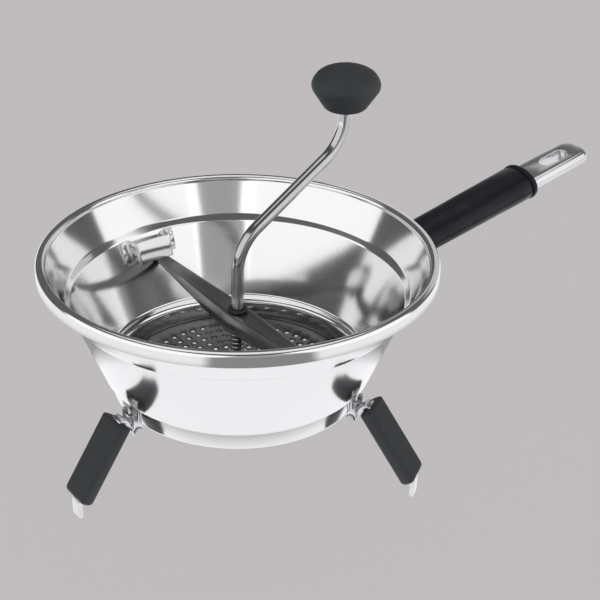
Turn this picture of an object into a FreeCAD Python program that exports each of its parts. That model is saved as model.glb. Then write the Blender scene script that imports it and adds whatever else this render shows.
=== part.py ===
import FreeCAD, Part
import math
import os
import re

import Sketcher

# Food mill on three folding legs. Millimetres, +Z up, handle along +X.
# The origin is on the bowl axis, in the plane of the outlet's lower edge.

V = FreeCAD.Vector
X_AXIS = V(1, 0, 0)
Y_AXIS = V(0, 1, 0)
Z_AXIS = V(0, 0, 1)
NO_TURN = FreeCAD.Rotation()

DIMENSIONS = [
    # Bowl
    ("rim_radius", 122.0, "outer radius of the rolled rim"),
    ("rim_width", 6.0, "width of the rolled rim"),
    ("rim_drop", 8.5, "height of the rolled rim's outer face"),
    ("rim_round", 2.6, "rounding of the rim's crown"),
    ("gauge", 0.9, "thickness of the bowl sheet"),
    ("bowl_height", 90.5, "outlet edge to rim crown"),
    ("neck_drop", 3.2, "rim crown to the start of the collar"),
    ("collar_drop", 24.0, "rim crown to the ledge"),
    ("collar_radius", 105.4, "inner radius at the foot of the collar"),
    ("ledge_width", 1.7, "width of the ledge under the collar"),
    ("ledge_drop", 1.0, "fall of the ledge"),
    ("shoulder_radius", 83.9, "inner radius at the foot of the cone"),
    ("shoulder_height", 14.9, "outlet edge to the shoulder"),
    ("shoulder_fall", 0.8, "fall of the shoulder towards the outlet"),
    ("shoulder_round", 3.0, "rounding between cone and shoulder"),
    ("outlet_radius", 79.5, "outer radius of the outlet band"),
    ("seat_radius", 73.5, "inner radius of the sieve's seat"),
    # Sieve disc
    ("sieve_radius", 78.3, "radius of the sieve disc"),
    ("sieve_level", 0.95, "underside of the sieve disc"),
    ("sieve_gauge", 0.8, "thickness of the sieve disc"),
    ("sieve_edge", 2.4, "height of the sieve's turned-up edge"),
    ("sieve_edge_width", 2.2, "width of the sieve's turned-up edge"),
    ("sieve_hole", 1.8, "radius of a sieve hole"),
    ("sieve_ring_step", 7.0, "distance between rings of holes"),
    ("sieve_hole_step", 7.5, "distance between holes along a ring"),
    ("sieve_pilot", 3.2, "radius of the sieve's middle hole"),
    # Crossbar, its bush and its keepers
    ("bar_level", 49.0, "top of the crossbar"),
    ("bar_gauge", 1.2, "thickness of the crossbar"),
    ("bar_reach", 93.2, "bowl axis to the crossbar's end"),
    ("bar_mid_half", 8.0, "half width of the crossbar at the shaft"),
    ("bar_end_half", 3.5, "half width of the crossbar at its ends"),
    ("bar_mid_depth", 13.0, "depth of the crossbar's flanges at the shaft"),
    ("bar_end_depth", 4.0, "depth of the crossbar's flanges at its ends"),
    ("bar_lip", 5.0, "height of the upturned lip at each end"),
    ("bar_lip_gauge", 1.5, "thickness of the upturned lip"),
    ("bar_hole", 5.2, "radius of the crossbar's middle hole"),
    ("bush_bore", 3.95, "bore radius of the crossbar bush"),
    ("bush_barrel", 5.15, "barrel radius of the crossbar bush"),
    ("bush_flange", 6.6, "flange radius of the crossbar bush"),
    ("bush_top", 1.7, "height of the bush above the crossbar"),
    ("bush_drop", 2.5, "length of the bush's barrel below the crossbar's top"),
    ("bush_chamfer", 0.6, "chamfer of the bush's flange"),
    ("seat_gap", 0.02, "gap under a piece that sits on another"),
    ("keeper_level", 49.4, "lower edge of the keepers"),
    ("keeper_height", 14.0, "height of the keeper strap"),
    ("keeper_gauge", 1.2, "thickness of the keeper strap"),
    ("keeper_stand", 8.5, "gap between keeper strap and wall"),
    ("weld_gap", 0.1, "gap between a welded piece and the wall"),
    ("keeper_stud", 1.7, "radius of a keeper's spot rivet"),
    ("keeper_stud_top", 0.95, "radius of a spot rivet's top"),
    ("keeper_stud_height", 0.7, "height of a spot rivet"),
    # Crank
    ("shaft_radius", 3.9, "radius of the crank rod"),
    ("spindle_radius", 2.8, "radius of the shaft below the crossbar"),
    ("spindle_top", 46.3, "level where the shaft steps down"),
    ("spindle_foot", -1.5, "lower end of the shaft"),
    ("arm_start", 92.9, "level of the crank's lower corner"),
    ("arm_end", 144.1, "level of the crank's upper corner"),
    ("arm_reach", 79.0, "bowl axis to knob axis"),
    ("bend_radius", 32.0, "radius of the crank's bends"),
    ("knob_pin_radius", 3.6, "radius of the rod inside the knob"),
    ("knob_pin_start", 2.0, "length of the knob's pin below the knob"),
    ("knob_level", 164.2, "lower face of the knob"),
    ("knob_height", 28.0, "height of the knob"),
    ("knob_radius", 21.8, "largest radius of the knob"),
    ("knob_foot", 12.0, "radius of the knob's lower face"),
    ("knob_waist", 14.0, "lower face to the widest place of the knob"),
    ("knob_rise", 12.2, "height of the knob's domed top"),
    ("knob_round", 2.4, "rounding of the knob's widest place"),
    ("knob_foot_round", 6.0, "rounding of the knob's lower edge"),
    ("knob_bore", 6.0, "radius of the knob's blind bore"),
    ("knob_bore_depth", 24.6, "depth of the knob's blind bore"),
    ("knob_bush_inset", 0.6, "lower face of the knob to its bush"),
    ("knob_bush_length", 21.4, "length of the knob's bush"),
    ("knob_float", 0.3, "play of the knob along its pin"),
    ("nut_radius", 5.5, "radius of the push nut"),
    ("nut_gauge", 1.0, "thickness of the push nut and the knob's washer"),
    ("knob_washer_radius", 7.5, "radius of the washer below the knob"),
    # Spring and scraper
    ("wire_radius", 0.8, "radius of the spring wire"),
    ("coil_radius", 3.95, "middle radius of the spring's coils"),
    ("coil_turns", 7.5, "turns of the spring"),
    ("spring_top", 45.2, "upper end of the spring"),
    ("spring_foot", 19.6, "lower end of the spring"),
    ("washer_radius", 5.6, "outer radius of the spring washers"),
    ("washer_gauge", 0.9, "thickness of the spring washers"),
    ("hub_radius", 4.95, "outer radius of the drive hub"),
    ("hub_foot", 4.0, "lower face of the drive hub"),
    ("hub_top", 18.5, "upper face of the drive hub"),
    ("boss_radius", 9.0, "outer radius of the blade's boss"),
    ("blade_reach", 72.0, "bowl axis to the blade's tip"),
    ("blade_width", 22.0, "width of a wing along its slope"),
    ("blade_gauge", 1.5, "thickness of a wing"),
    ("blade_slope", 35.0, "slope of a wing, degrees"),
    ("blade_turn", -20.0, "turn of the wings from the crank's arm, degrees"),
    ("blade_gap", 2.5, "level of a wing's lower edge"),
    ("cross_pin", 1.25, "radius of the hub's cross pin"),
    ("cross_pin_level", 12.0, "level of the hub's cross pin"),
    ("drill_gap", 0.02, "gap round a piece that is driven into a hole"),
    ("slip_gap", 0.05, "gap between pieces that are slid together once"),
    ("boss_chamfer", 2.0, "chamfer of the blade's boss"),
    ("wing_root", 1.5, "depth of a wing's root in the boss"),
    # Handle
    ("handle_root", 101.0, "bowl axis to the handle's root"),
    ("handle_level", 50.1, "level of the handle's root"),
    ("handle_tilt", 11.3, "upward slope of the handle, degrees"),
    ("core_start", 1.5, "root to the start of the steel core"),
    ("core_length", 202.8, "root to the end of the steel core"),
    ("core_thick", 6.0, "thickness of the steel core"),
    ("core_half", 9.0, "half width of the core inside the grip"),
    ("tail_start", 142.5, "root to the core's wide tail"),
    ("tail_lap", 4.0, "length over which the core runs into its tail"),
    ("tail_half", 12.6, "half width of the core's tail"),
    ("tail_thick", 9.0, "thickness of the core's tail"),
    ("tail_edge", 3.5, "rounding of the tail's long edges"),
    ("tail_round", 9.0, "corner radius of the core's end"),
    ("hang_centre", 177.2, "root to the middle of the hanging hole"),
    ("hang_length", 24.0, "length of the hanging hole"),
    ("hang_width", 12.0, "width of the hanging hole"),
    ("grip_start", 29.7, "root to the near end of the grip"),
    ("grip_end", 141.0, "root to the far end of the grip"),
    ("grip_near_half", 14.6, "half width of the grip's near end"),
    ("grip_near_rise", 10.4, "half height of the grip's near end"),
    ("grip_far_half", 15.9, "half width of the grip's far end"),
    ("grip_far_rise", 11.7, "half height of the grip's far end"),
    ("grip_round", 1.6, "rounding of the grip's ends"),
    ("grip_ring", 4.2, "thickness of the grip's end ring"),
    ("grip_ring_proud", 0.5, "height of the end ring above the grip"),
    ("tail_gap", 0.5, "room before the core's tail in the end ring"),
    ("bracket_gauge", 1.6, "thickness of the handle bracket's plate"),
    ("socket_length", 15.0, "length of the handle bracket's socket"),
    ("socket_half", 11.5, "half width of the socket"),
    ("socket_rise", 5.2, "half height of the socket"),
    ("handle_rivet", 2.5, "radius of the handle's rivets"),
    ("rivet_place", 8.25, "root to the handle's rivets"),
    ("rivet_spread", 5.0, "handle's middle line to a rivet"),
    ("rivet_proud", 0.9, "height of a rivet above the socket"),
    # Legs
    ("hinge_radius", 79.0, "bowl axis to a leg's hinge pin"),
    ("hinge_level", -6.5, "level of a leg's hinge pin"),
    ("pin_radius", 2.0, "radius of a hinge pin"),
    ("pin_clearance", 0.05, "running clearance round a hinge pin"),
    ("pin_head", 3.2, "radius of a hinge pin's heads"),
    ("pin_head_height", 1.2, "height of a hinge pin's heads"),
    ("eye_radius", 3.4, "radius of the eye at the top of a leg"),
    ("knee_out", 9.0, "hinge pin to knee, outwards"),
    ("knee_up", 11.0, "hinge pin to knee, upwards"),
    ("leg_splay", 34.4, "slope of a leg from upright, degrees"),
    ("strut_width", 9.0, "width of a leg's steel strut"),
    ("strut_thick", 2.6, "thickness of a leg's steel strut"),
    ("foot_level", -54.5, "level of the leg tips"),
    ("sleeve_start", 3.0, "knee to the sleeve's upper end"),
    ("sleeve_length", 53.5, "length of a leg's sleeve"),
    ("sleeve_width", 22.5, "width of a leg's sleeve"),
    ("sleeve_thick", 9.5, "thickness of a leg's sleeve"),
    ("sleeve_round", 3.2, "edge rounding of a leg's sleeve"),
    ("toe_gap", 1.0, "sleeve's lower end to the bend of the upright toe"),
    ("ear_gap", 0.3, "gap between a leg's eye and a bracket ear"),
    ("ear_gauge", 1.6, "thickness of a bracket ear"),
    ("ear_root", 0.4, "length of a bracket ear behind its eye"),
]

LEG_BEARINGS = {"left": 182.0, "right": 302.0, "back": 62.0}
KEEPER_BEARINGS = {"far": 90.0, "near": 270.0}
KEEPER_TAB = 4.2          # degrees covered by each welded tab of a keeper
KEEPER_LEAD = -8.0        # degrees from the crossbar to a keeper's first tab
KEEPER_SPAN = 24.0        # degrees covered by a whole keeper
KEEPER_WEB = 0.8          # degrees covered by each side of the strap
STUD_RISES = (0.25, 0.75)  # places of a tab's spot rivets, as parts of its height
BRACKET_SWEEP = 24.0      # degrees covered by the handle bracket's plate
BRACKET_FOOT = 32.0       # lower edge of the handle bracket's plate
BRACKET_TOP = 61.0        # upper edge of the handle bracket's plate
LEG_PLATE_SWEEP = 13.0    # degrees covered by a leg bracket's plate
LEG_PLATE_FOOT = 1.0      # lower edge of a leg bracket's plate
LEG_PLATE_TOP = 12.4      # upper edge of a leg bracket's plate
LEG_PLATE_GAUGE = 1.3     # thickness of a leg bracket's plate
EAR_RISE = 12.0           # hinge pin to the top of a bracket ear
FAR = 400.0               # longer than any piece
TOLERANCE = 0.01          # two places nearer than this are one place

doc = FreeCAD.newDocument("food_mill")
sheet = doc.addObject("Spreadsheet::Sheet", "Dimensions")
for row, (alias, size, note) in enumerate(DIMENSIONS, start=1):
    sheet.set(f"A{row}", note)
    sheet.set(f"B{row}", str(size))
    sheet.setAlias(f"B{row}", alias)
doc.recompute()

ALIASES = {alias for alias, size, note in DIMENSIONS}
SIZE = {alias: float(sheet.get(alias)) for alias in ALIASES}
nodes = []


# Helpers for sizes, sketches and placements


def formula(text):
    """An expression with each dimension's name led by the sheet's."""
    return re.sub(r"[a-z_]+", lambda m: f"Dimensions.{m[0]}" if m[0] in ALIASES else m[0], str(text))


def value(text):
    """What an expression of dimensions comes to."""
    return float(sheet.evalExpression(formula(text)))


def bind(item, **sizes):
    for name, text in sizes.items():
        item.setExpression(name, formula(text))
    return item


def sub_part(item, label):
    item.Label = label
    nodes.append(item)
    return item


def about_z(degrees, at=V(0, 0, 0)):
    return FreeCAD.Placement(at, FreeCAD.Rotation(Z_AXIS, degrees))


def origin_plane(body, role):
    return next(plane for plane in body.Origin.OriginFeatures if plane.Role == role)


def new_body(name):
    return doc.addObject("PartDesign::Body", name)


def outline(body, name, role, corners, offset=None):
    """A closed outline whose corners are pairs of expressions, in turn to the left.

    A third expression on a corner makes the run after it an arc of that radius that bulges outwards.
    """
    sketch = body.newObject("Sketcher::SketchObject", name)
    sketch.AttachmentSupport = [(origin_plane(body, role), "")]
    sketch.MapMode = "FlatFace"
    if offset is not None:
        sketch.setExpression("AttachmentOffset.Base.z", formula(offset))
    spots = [V(value(corner[0]), value(corner[1])) for corner in corners]
    count = len(spots)
    for i, corner in enumerate(corners):
        following = spots[(i + 1) % count]
        if len(corner) > 2:
            sketch.addGeometry(bulge(spots[i], following, value(corner[2])))
        else:
            sketch.addGeometry(Part.LineSegment(spots[i], following))
    for i in range(count):
        sketch.addConstraint(Sketcher.Constraint("Coincident", i, 2, (i + 1) % count, 1))
    for i, (across, up, *radius) in enumerate(corners):
        if radius:
            hold(sketch, radius[0], "Radius", i)
        for kind, text, axis in (("DistanceX", across, -2), ("DistanceY", up, -1)):
            if text == "0":
                sketch.addConstraint(Sketcher.Constraint("PointOnObject", i, 1, axis))
            else:
                hold(sketch, text, kind, -1, 1, i, 1)
    return sketch


def bulge(start, end, radius):
    """An arc that turns to the left from start to end."""
    chord = end - start
    away = V(-chord.y, chord.x).normalize()
    middle = (start + end) / 2 + away * math.sqrt(radius ** 2 - chord.Length ** 2 / 4)
    first, last = (math.atan2(spot.y - middle.y, spot.x - middle.x) for spot in (start, end))
    return Part.ArcOfCircle(Part.Circle(middle, Z_AXIS, radius), first, last)


def hold(sketch, text, *constraint):
    """A measured constraint bound to an expression."""
    index = sketch.addConstraint(Sketcher.Constraint(*constraint, value(text)))
    sketch.setExpression(f"Constraints[{index}]", formula(text))


def turned(name, corners):
    """A piece turned about the Z axis from a half outline of (radius, level) pairs."""
    body = new_body(name)
    spin = body.newObject("PartDesign::Revolution", name + "_turn")
    spin.Profile = outline(body, name + "_outline", "XZ_Plane", corners)
    spin.ReferenceAxis = (spin.Profile[0], ["V_Axis"])
    spin.Angle = 360
    return body


def padded(body, name, role, corners, length):
    """An outline given thickness to both sides of its plane."""
    pad = body.newObject("PartDesign::Pad", name)
    pad.Profile = outline(body, name + "_outline", role, corners)
    pad.SideType = "Symmetric"
    return bind(pad, Length=length)


def round_edges(body, name, radius, chosen):
    """Rounds the edges of the body's last feature that the chosen test accepts."""
    doc.recompute()
    base = body.Tip
    edges = [f"Edge{i}" for i, edge in enumerate(base.Shape.Edges, start=1) if chosen(edge)]
    fillet = body.newObject("PartDesign::Fillet", name)
    fillet.Base = (base, edges)
    return bind(fillet, Radius=radius)


def same(one, other):
    return abs(one - other) < TOLERANCE


def circle_at(radius, level):
    """Accepts a full circle about the Z axis with this radius and level."""
    def test(edge):
        if edge.Degenerated or not isinstance(edge.Curve, Part.Circle):
            return False
        return same(edge.Curve.Radius, radius) and same(edge.Curve.Center.z, level)
    return test


def primitive(kind, name, placement=None, **sizes):
    item = doc.addObject("Part::" + kind, name)
    if placement is not None:
        item.Placement = placement
    return bind(item, **sizes)


def cut(name, base, tool):
    item = doc.addObject("Part::Cut", name)
    item.Base = base
    item.Tool = tool
    return item


def cut_all(name, base, tools):
    for i, tool in enumerate(tools):
        base = cut(f"{name}_cut{i}", base, tool)
    return base


def fuse(name, shapes):
    item = doc.addObject("Part::MultiFuse", name)
    item.Shapes = shapes
    return item


def rod_between(name, radius, start, end):
    """A straight round rod from one point to another."""
    run = end - start
    turn = FreeCAD.Rotation(Z_AXIS, run)
    rod = primitive("Cylinder", name, FreeCAD.Placement(start, turn), Radius=radius)
    rod.Height = run.Length
    return rod


def group(name, solids):
    """Like solids that share one node."""
    item = doc.addObject("Part::Compound", name)
    item.Links = solids
    return item


# Bowl


def make_bowl():
    inner_rim = "rim_radius - rim_width"
    ledge = "bowl_height - collar_drop"
    foot = "collar_radius - ledge_width"
    bowl = turned("bowl", [
        (inner_rim, "bowl_height"),
        (inner_rim, "bowl_height - neck_drop"),
        ("collar_radius", ledge),
        (foot, ledge + " - ledge_drop"),
        ("shoulder_radius", "shoulder_height"),
        ("outlet_radius - gauge", "shoulder_height - shoulder_fall"),
        ("outlet_radius - gauge", "gauge"),
        ("seat_radius", "gauge"),
        ("seat_radius", "0"),
        ("outlet_radius", "0"),
        ("outlet_radius", "shoulder_height - shoulder_fall - gauge"),
        ("shoulder_radius + gauge", "shoulder_height - gauge"),
        (foot + " + gauge", ledge + " - ledge_drop - gauge"),
        ("collar_radius + gauge", ledge + " - gauge"),
        (inner_rim + " + gauge", "bowl_height - neck_drop - gauge / 3"),
        (inner_rim + " + gauge", "bowl_height - gauge"),
        ("rim_radius - gauge", "bowl_height - gauge"),
        ("rim_radius - gauge", "bowl_height - rim_drop"),
        ("rim_radius", "bowl_height - rim_drop"),
        ("rim_radius", "bowl_height"),
    ])
    rim = SIZE["rim_radius"]
    gauge = SIZE["gauge"]
    crown = SIZE["bowl_height"]
    inner = rim - SIZE["rim_width"]
    for name, radius, spots in (
        ("rim_crown", "rim_round", [(rim, crown), (inner, crown)]),
        ("rim_hollow", "rim_round - gauge", [(rim - gauge, crown - gauge), (inner + gauge, crown - gauge)]),
        ("shoulder_inside", "shoulder_round", [(SIZE["shoulder_radius"], SIZE["shoulder_height"])]),
        ("shoulder_outside", "shoulder_round + gauge",
         [(SIZE["shoulder_radius"] + gauge, SIZE["shoulder_height"] - gauge)]),
    ):
        tests = [circle_at(*spot) for spot in spots]
        round_edges(bowl, name, radius, lambda edge: any(test(edge) for test in tests))
    sub_part(bowl, "bowl_shell")


# Sieve disc


def sieve_hole_spots():
    rings = int((SIZE["seat_radius"] - SIZE["sieve_hole_step"]) / SIZE["sieve_ring_step"])
    for ring in range(2, rings + 1):
        radius = ring * SIZE["sieve_ring_step"]
        count = round(2 * math.pi * radius / SIZE["sieve_hole_step"])
        for i in range(count):
            turn = 2 * math.pi * (i + ring / 2) / count
            yield V(radius * math.cos(turn), radius * math.sin(turn), SIZE["sieve_level"])


def make_sieve():
    # A plate with some hundreds of holes is one holed face given thickness.
    def ring(radius, at):
        return Part.Wire([Part.Circle(at, Z_AXIS, radius).toShape()])
    centre = V(0, 0, SIZE["sieve_level"])
    wires = [ring(SIZE["sieve_radius"], centre), ring(SIZE["sieve_pilot"], centre)]
    wires += [ring(SIZE["sieve_hole"], spot) for spot in sieve_hole_spots()]
    plate = Part.Face(wires, "Part::FaceMakerBullseye").extrude(V(0, 0, SIZE["sieve_gauge"]))
    edge_inner = SIZE["sieve_radius"] - SIZE["sieve_edge_width"]
    edge = Part.makeCylinder(SIZE["sieve_radius"], SIZE["sieve_edge"], centre)
    edge = edge.cut(Part.makeCylinder(edge_inner, SIZE["sieve_edge"], centre))
    disc = doc.addObject("Part::Feature", "sieve")
    disc.Shape = plate.fuse(edge).removeSplitter()
    sub_part(disc, "sieve_disc")


# Crossbar, its bush and its keepers


def channel(half, depth):
    """The section of a channel that is open below."""
    top = "bar_level"
    inner = f"{half} - bar_gauge"
    return [
        (f"-({half})", top), (half, top), (half, f"{top} - {depth}"), (inner, f"{top} - {depth}"),
        (inner, f"{top} - bar_gauge"), (f"-({inner})", f"{top} - bar_gauge"),
        (f"-({inner})", f"{top} - {depth}"), (f"-({half})", f"{top} - {depth}"),
    ]


def make_crossbar():
    body = new_body("bar")
    end = channel("bar_end_half", "bar_end_depth")
    middle = channel("bar_mid_half", "bar_mid_depth")
    sections = [
        outline(body, "bar_near_end", "XZ_Plane", end, "bar_reach"),
        outline(body, "bar_middle", "XZ_Plane", middle, "0"),
        outline(body, "bar_far_end", "XZ_Plane", end, "-bar_reach"),
    ]
    loft = body.newObject("PartDesign::AdditiveLoft", "bar_loft")
    loft.Profile = sections[0]
    loft.Sections = sections[1:]
    loft.Ruled = True
    hole = primitive("Cylinder", "bar_hole_tool", Radius="bar_hole", Height=FAR)
    half = SIZE["bar_end_half"]
    lips = []
    for side in (1, -1):
        outer = side * SIZE["bar_reach"]
        near_face = min(outer, outer - side * SIZE["bar_lip_gauge"])
        corner = V(-half, near_face, value("bar_level - bar_gauge"))
        lip = primitive("Box", f"bar_lip_{side + 1}", FreeCAD.Placement(corner, NO_TURN))
        bind(lip, Length="2 * bar_end_half", Width="bar_lip_gauge", Height="bar_lip + bar_gauge")
        lips.append(lip)
    sub_part(cut("crossbar_drilled", fuse("crossbar_blank", [body] + lips), hole), "crossbar")
    bush = turned("bush", [
        ("bush_bore", "bar_level - bush_drop"), ("bush_barrel", "bar_level - bush_drop"),
        ("bush_barrel", "bar_level + seat_gap"), ("bush_flange", "bar_level + seat_gap"),
        ("bush_flange", "bar_level + bush_top - bush_chamfer"),
        ("bush_flange - bush_chamfer", "bar_level + bush_top"),
        ("bush_bore", "bar_level + bush_top"),
    ])
    sub_part(bush, "crossbar_bush")


CONE_RISE = "(bowl_height - collar_drop - ledge_drop - shoulder_height)"
CONE_RUN = "(collar_radius - ledge_width - shoulder_radius)"


def wall_radius(level):
    """Inner radius of the conical wall at a level, as an expression."""
    return f"(shoulder_radius + {CONE_RUN} * (({level}) - shoulder_height) / {CONE_RISE})"


def cone_patch(name, low, high, outer, inner, start, sweep):
    """Part of a shell that follows the wall, between two distances from its inner face."""
    shells = []
    for tag, distance, angle in (("outer", outer, sweep), ("inner", inner, 360.0)):
        shell = primitive("Cone", f"{name}_{tag}",
                          Radius1=f"{wall_radius(low)} + ({distance})",
                          Radius2=f"{wall_radius(high)} + ({distance})",
                          Height=f"({high}) - ({low})")
        shell.Angle = angle
        shell.Placement = about_z(start, V(0, 0, value(low)))
        shells.append(shell)
    return cut(name, *shells)


def make_keepers():
    low = "keeper_level"
    high = "keeper_level + keeper_height"
    near = "-weld_gap"
    tab_face = "-weld_gap - keeper_gauge"
    strap_back = "-keeper_stand"
    strap_face = "-keeper_stand - keeper_gauge"
    studs = []
    for tag, bearing in KEEPER_BEARINGS.items():
        first = bearing + KEEPER_LEAD
        last = first + KEEPER_SPAN
        runs = [
            ("tab_a", near, tab_face, first, KEEPER_TAB),
            ("side_a", near, strap_face, first + KEEPER_TAB - KEEPER_WEB, KEEPER_WEB),
            ("strap", strap_back, strap_face, first + KEEPER_TAB - KEEPER_WEB,
             KEEPER_SPAN - 2 * KEEPER_TAB + 2 * KEEPER_WEB),
            ("side_b", near, strap_face, last - KEEPER_TAB, KEEPER_WEB),
            ("tab_b", near, tab_face, last - KEEPER_TAB, KEEPER_TAB),
        ]
        pieces = [cone_patch(f"keeper_{tag}_{run}", low, high, *rest) for run, *rest in runs]
        sub_part(fuse(f"keeper_{tag}_strap_whole", pieces), f"keeper_{tag}")
        for turn in (first + KEEPER_TAB / 2 - KEEPER_WEB, last - KEEPER_TAB / 2 + KEEPER_WEB):
            for part_up in STUD_RISES:
                studs.append(make_stud(f"stud_{len(studs)}", turn, part_up))
    sub_part(group("keeper_studs", studs), "keeper_rivets")


def make_stud(name, turn, part_up):
    level = SIZE["keeper_level"] + part_up * SIZE["keeper_height"]
    slope = math.atan2(value(CONE_RUN), value(CONE_RISE))
    face = value(f"{wall_radius(level)} - weld_gap - keeper_gauge")
    inward = V(-math.cos(slope), 0, math.sin(slope))
    aim = FreeCAD.Rotation(Z_AXIS, turn).multiply(FreeCAD.Rotation(Z_AXIS, inward))
    seat = FreeCAD.Rotation(Z_AXIS, turn).multVec(V(face, 0, level) + inward * SIZE["slip_gap"])
    return primitive("Cone", name, FreeCAD.Placement(seat, aim), Radius1="keeper_stud",
                     Radius2="keeper_stud_top", Height="keeper_stud_height")


# Crank, spring and scraper


def crank_path(body):
    """The bent middle line of the crank rod, in the XZ plane."""
    low = V(0, SIZE["arm_start"], 0)
    high = V(SIZE["arm_reach"], SIZE["arm_end"], 0)
    radius = SIZE["bend_radius"]
    arm = (high - low).normalize()
    up = V(0, 1, 0)
    turn = arm.getAngle(up)
    setback = radius * math.tan(turn / 2)
    start = V(0, SIZE["spindle_top"], 0)
    finish = V(SIZE["arm_reach"], SIZE["knob_level"] - SIZE["knob_pin_start"], 0)
    spots = [start, low - up * setback, low + arm * setback]
    spots += [high - arm * setback, high + up * setback, finish]
    middle_low = spots[1] + V(radius, 0, 0)
    middle_high = spots[4] - V(radius, 0, 0)
    swing = (arm.getAngle(V(1, 0, 0)) + math.pi / 2, math.pi, -math.pi / 2 + arm.getAngle(V(1, 0, 0)), 0.0)
    sketch = body.newObject("Sketcher::SketchObject", "crank_line")
    sketch.AttachmentSupport = [(origin_plane(body, "XZ_Plane"), "")]
    sketch.MapMode = "FlatFace"
    sketch.addGeometry(Part.LineSegment(spots[0], spots[1]))
    sketch.addGeometry(Part.ArcOfCircle(Part.Circle(middle_low, Z_AXIS, radius), swing[0], swing[1]))
    sketch.addGeometry(Part.LineSegment(spots[2], spots[3]))
    sketch.addGeometry(Part.ArcOfCircle(Part.Circle(middle_high, Z_AXIS, radius), swing[2], swing[3]))
    sketch.addGeometry(Part.LineSegment(spots[4], spots[5]))
    joints = ((0, 2, 1, 2), (1, 1, 2, 1), (2, 2, 3, 1), (3, 2, 4, 1))
    for first, first_end, second, second_end in joints:
        sketch.addConstraint(Sketcher.Constraint("Tangent", first, first_end, second, second_end))
    sketch.addConstraint(Sketcher.Constraint("PointOnObject", 0, 1, -2))
    sketch.addConstraint(Sketcher.Constraint("Vertical", 0))
    sketch.addConstraint(Sketcher.Constraint("Vertical", 4))
    hold(sketch, "spindle_top", "DistanceY", -1, 1, 0, 1)
    hold(sketch, "arm_reach", "DistanceX", -1, 1, 4, 2)
    hold(sketch, "knob_level - knob_pin_start", "DistanceY", -1, 1, 4, 2)
    hold(sketch, "bend_radius", "Radius", 1)
    hold(sketch, "bend_radius", "Radius", 3)
    return sketch


def round_section(body, name, radius, level):
    sketch = body.newObject("Sketcher::SketchObject", name)
    sketch.AttachmentSupport = [(origin_plane(body, "XY_Plane"), "")]
    sketch.MapMode = "FlatFace"
    sketch.setExpression("AttachmentOffset.Base.z", formula(level))
    sketch.addGeometry(Part.Circle(V(0, 0, 0), Z_AXIS, SIZE[radius]))
    sketch.addConstraint(Sketcher.Constraint("Coincident", 0, 3, -1, 1))
    hold(sketch, radius, "Radius", 0)
    return sketch


def make_crank():
    body = new_body("crank_bend")
    pipe = body.newObject("PartDesign::AdditivePipe", "crank_sweep")
    pipe.Profile = round_section(body, "crank_section", "shaft_radius", "spindle_top")
    pipe.Spine = (crank_path(body), [f"Edge{i}" for i in range(1, 6)])
    spindle = primitive("Cylinder", "spindle", about_z(0, V(0, 0, SIZE["spindle_foot"])),
                        Radius="spindle_radius", Height="spindle_top - spindle_foot")
    pin_foot = V(SIZE["arm_reach"], 0, value("knob_level - knob_pin_start"))
    pin_top = V(SIZE["arm_reach"], 0, value("knob_level + knob_bore_depth - knob_bush_inset"))
    knob_pin = rod_between("knob_pin", "knob_pin_radius", pin_foot, pin_top)
    blank = fuse("crank_blank", [body, spindle, knob_pin])
    sub_part(cut("crank_drilled", blank, cross_pin_tool("crank_pin_hole")), "crank_rod")


def across_wings(name, radius, reach):
    """A level rod through the shaft, square to the scraper's wings."""
    side = FreeCAD.Rotation(Z_AXIS, SIZE["blade_turn"]).multVec(V(0, reach, 0))
    middle = V(0, 0, SIZE["cross_pin_level"])
    return rod_between(name, radius, middle - side, middle + side)


def cross_pin_tool(name):
    return across_wings(name, "cross_pin + drill_gap", FAR / 10)


def make_scraper():
    hub = turned("hub", [("spindle_radius + slip_gap", "hub_foot"), ("hub_radius", "hub_foot"),
                         ("hub_radius", "hub_top"), ("spindle_radius + slip_gap", "hub_top")])
    sub_part(cut("hub_drilled", hub, cross_pin_tool("hub_pin_hole")), "drive_hub")
    boss = turned("boss", [("hub_radius + slip_gap", "hub_foot"), ("boss_radius", "hub_foot"),
                           ("boss_radius", "hub_top - boss_chamfer"),
                           ("boss_radius - boss_chamfer", "hub_top"), ("hub_radius + slip_gap", "hub_top")])
    slope = math.radians(SIZE["blade_slope"])
    tilt = FreeCAD.Rotation(X_AXIS, -SIZE["blade_slope"])
    half_run = SIZE["blade_width"] * math.cos(slope) / 2
    high_edge = SIZE["blade_gap"] + SIZE["blade_width"] * math.sin(slope)
    corner = V(value("boss_radius - wing_root"), -half_run, high_edge)
    wings = []
    for turn in (0.0, 180.0):
        place = about_z(SIZE["blade_turn"] + turn).multiply(FreeCAD.Placement(corner, tilt))
        wing = primitive("Box", f"wing_{int(turn)}", place)
        bind(wing, Length="blade_reach - boss_radius + wing_root", Width="blade_width", Height="blade_gauge")
        wings.append(wing)
    bore = primitive("Cylinder", "boss_bore_tool", Radius="hub_radius + slip_gap", Height=FAR)
    blade = cut_all("blade", fuse("blade_blank", [boss] + wings), [bore, cross_pin_tool("blade_pin_hole")])
    sub_part(blade, "scraper_blade")
    sub_part(across_wings("hub_cross_pin", "cross_pin", SIZE["boss_radius"]), "hub_pin")
    for label, level in (("spring_washer_upper", "spring_top + slip_gap"),
                         ("spring_washer_lower", "spring_foot - slip_gap - washer_gauge")):
        washer = turned(label + "_ring", [("spindle_radius + slip_gap", level), ("washer_radius", level),
                                          ("washer_radius", f"{level} + washer_gauge"),
                                          ("spindle_radius + slip_gap", f"{level} + washer_gauge")])
        sub_part(washer, label)


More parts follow.
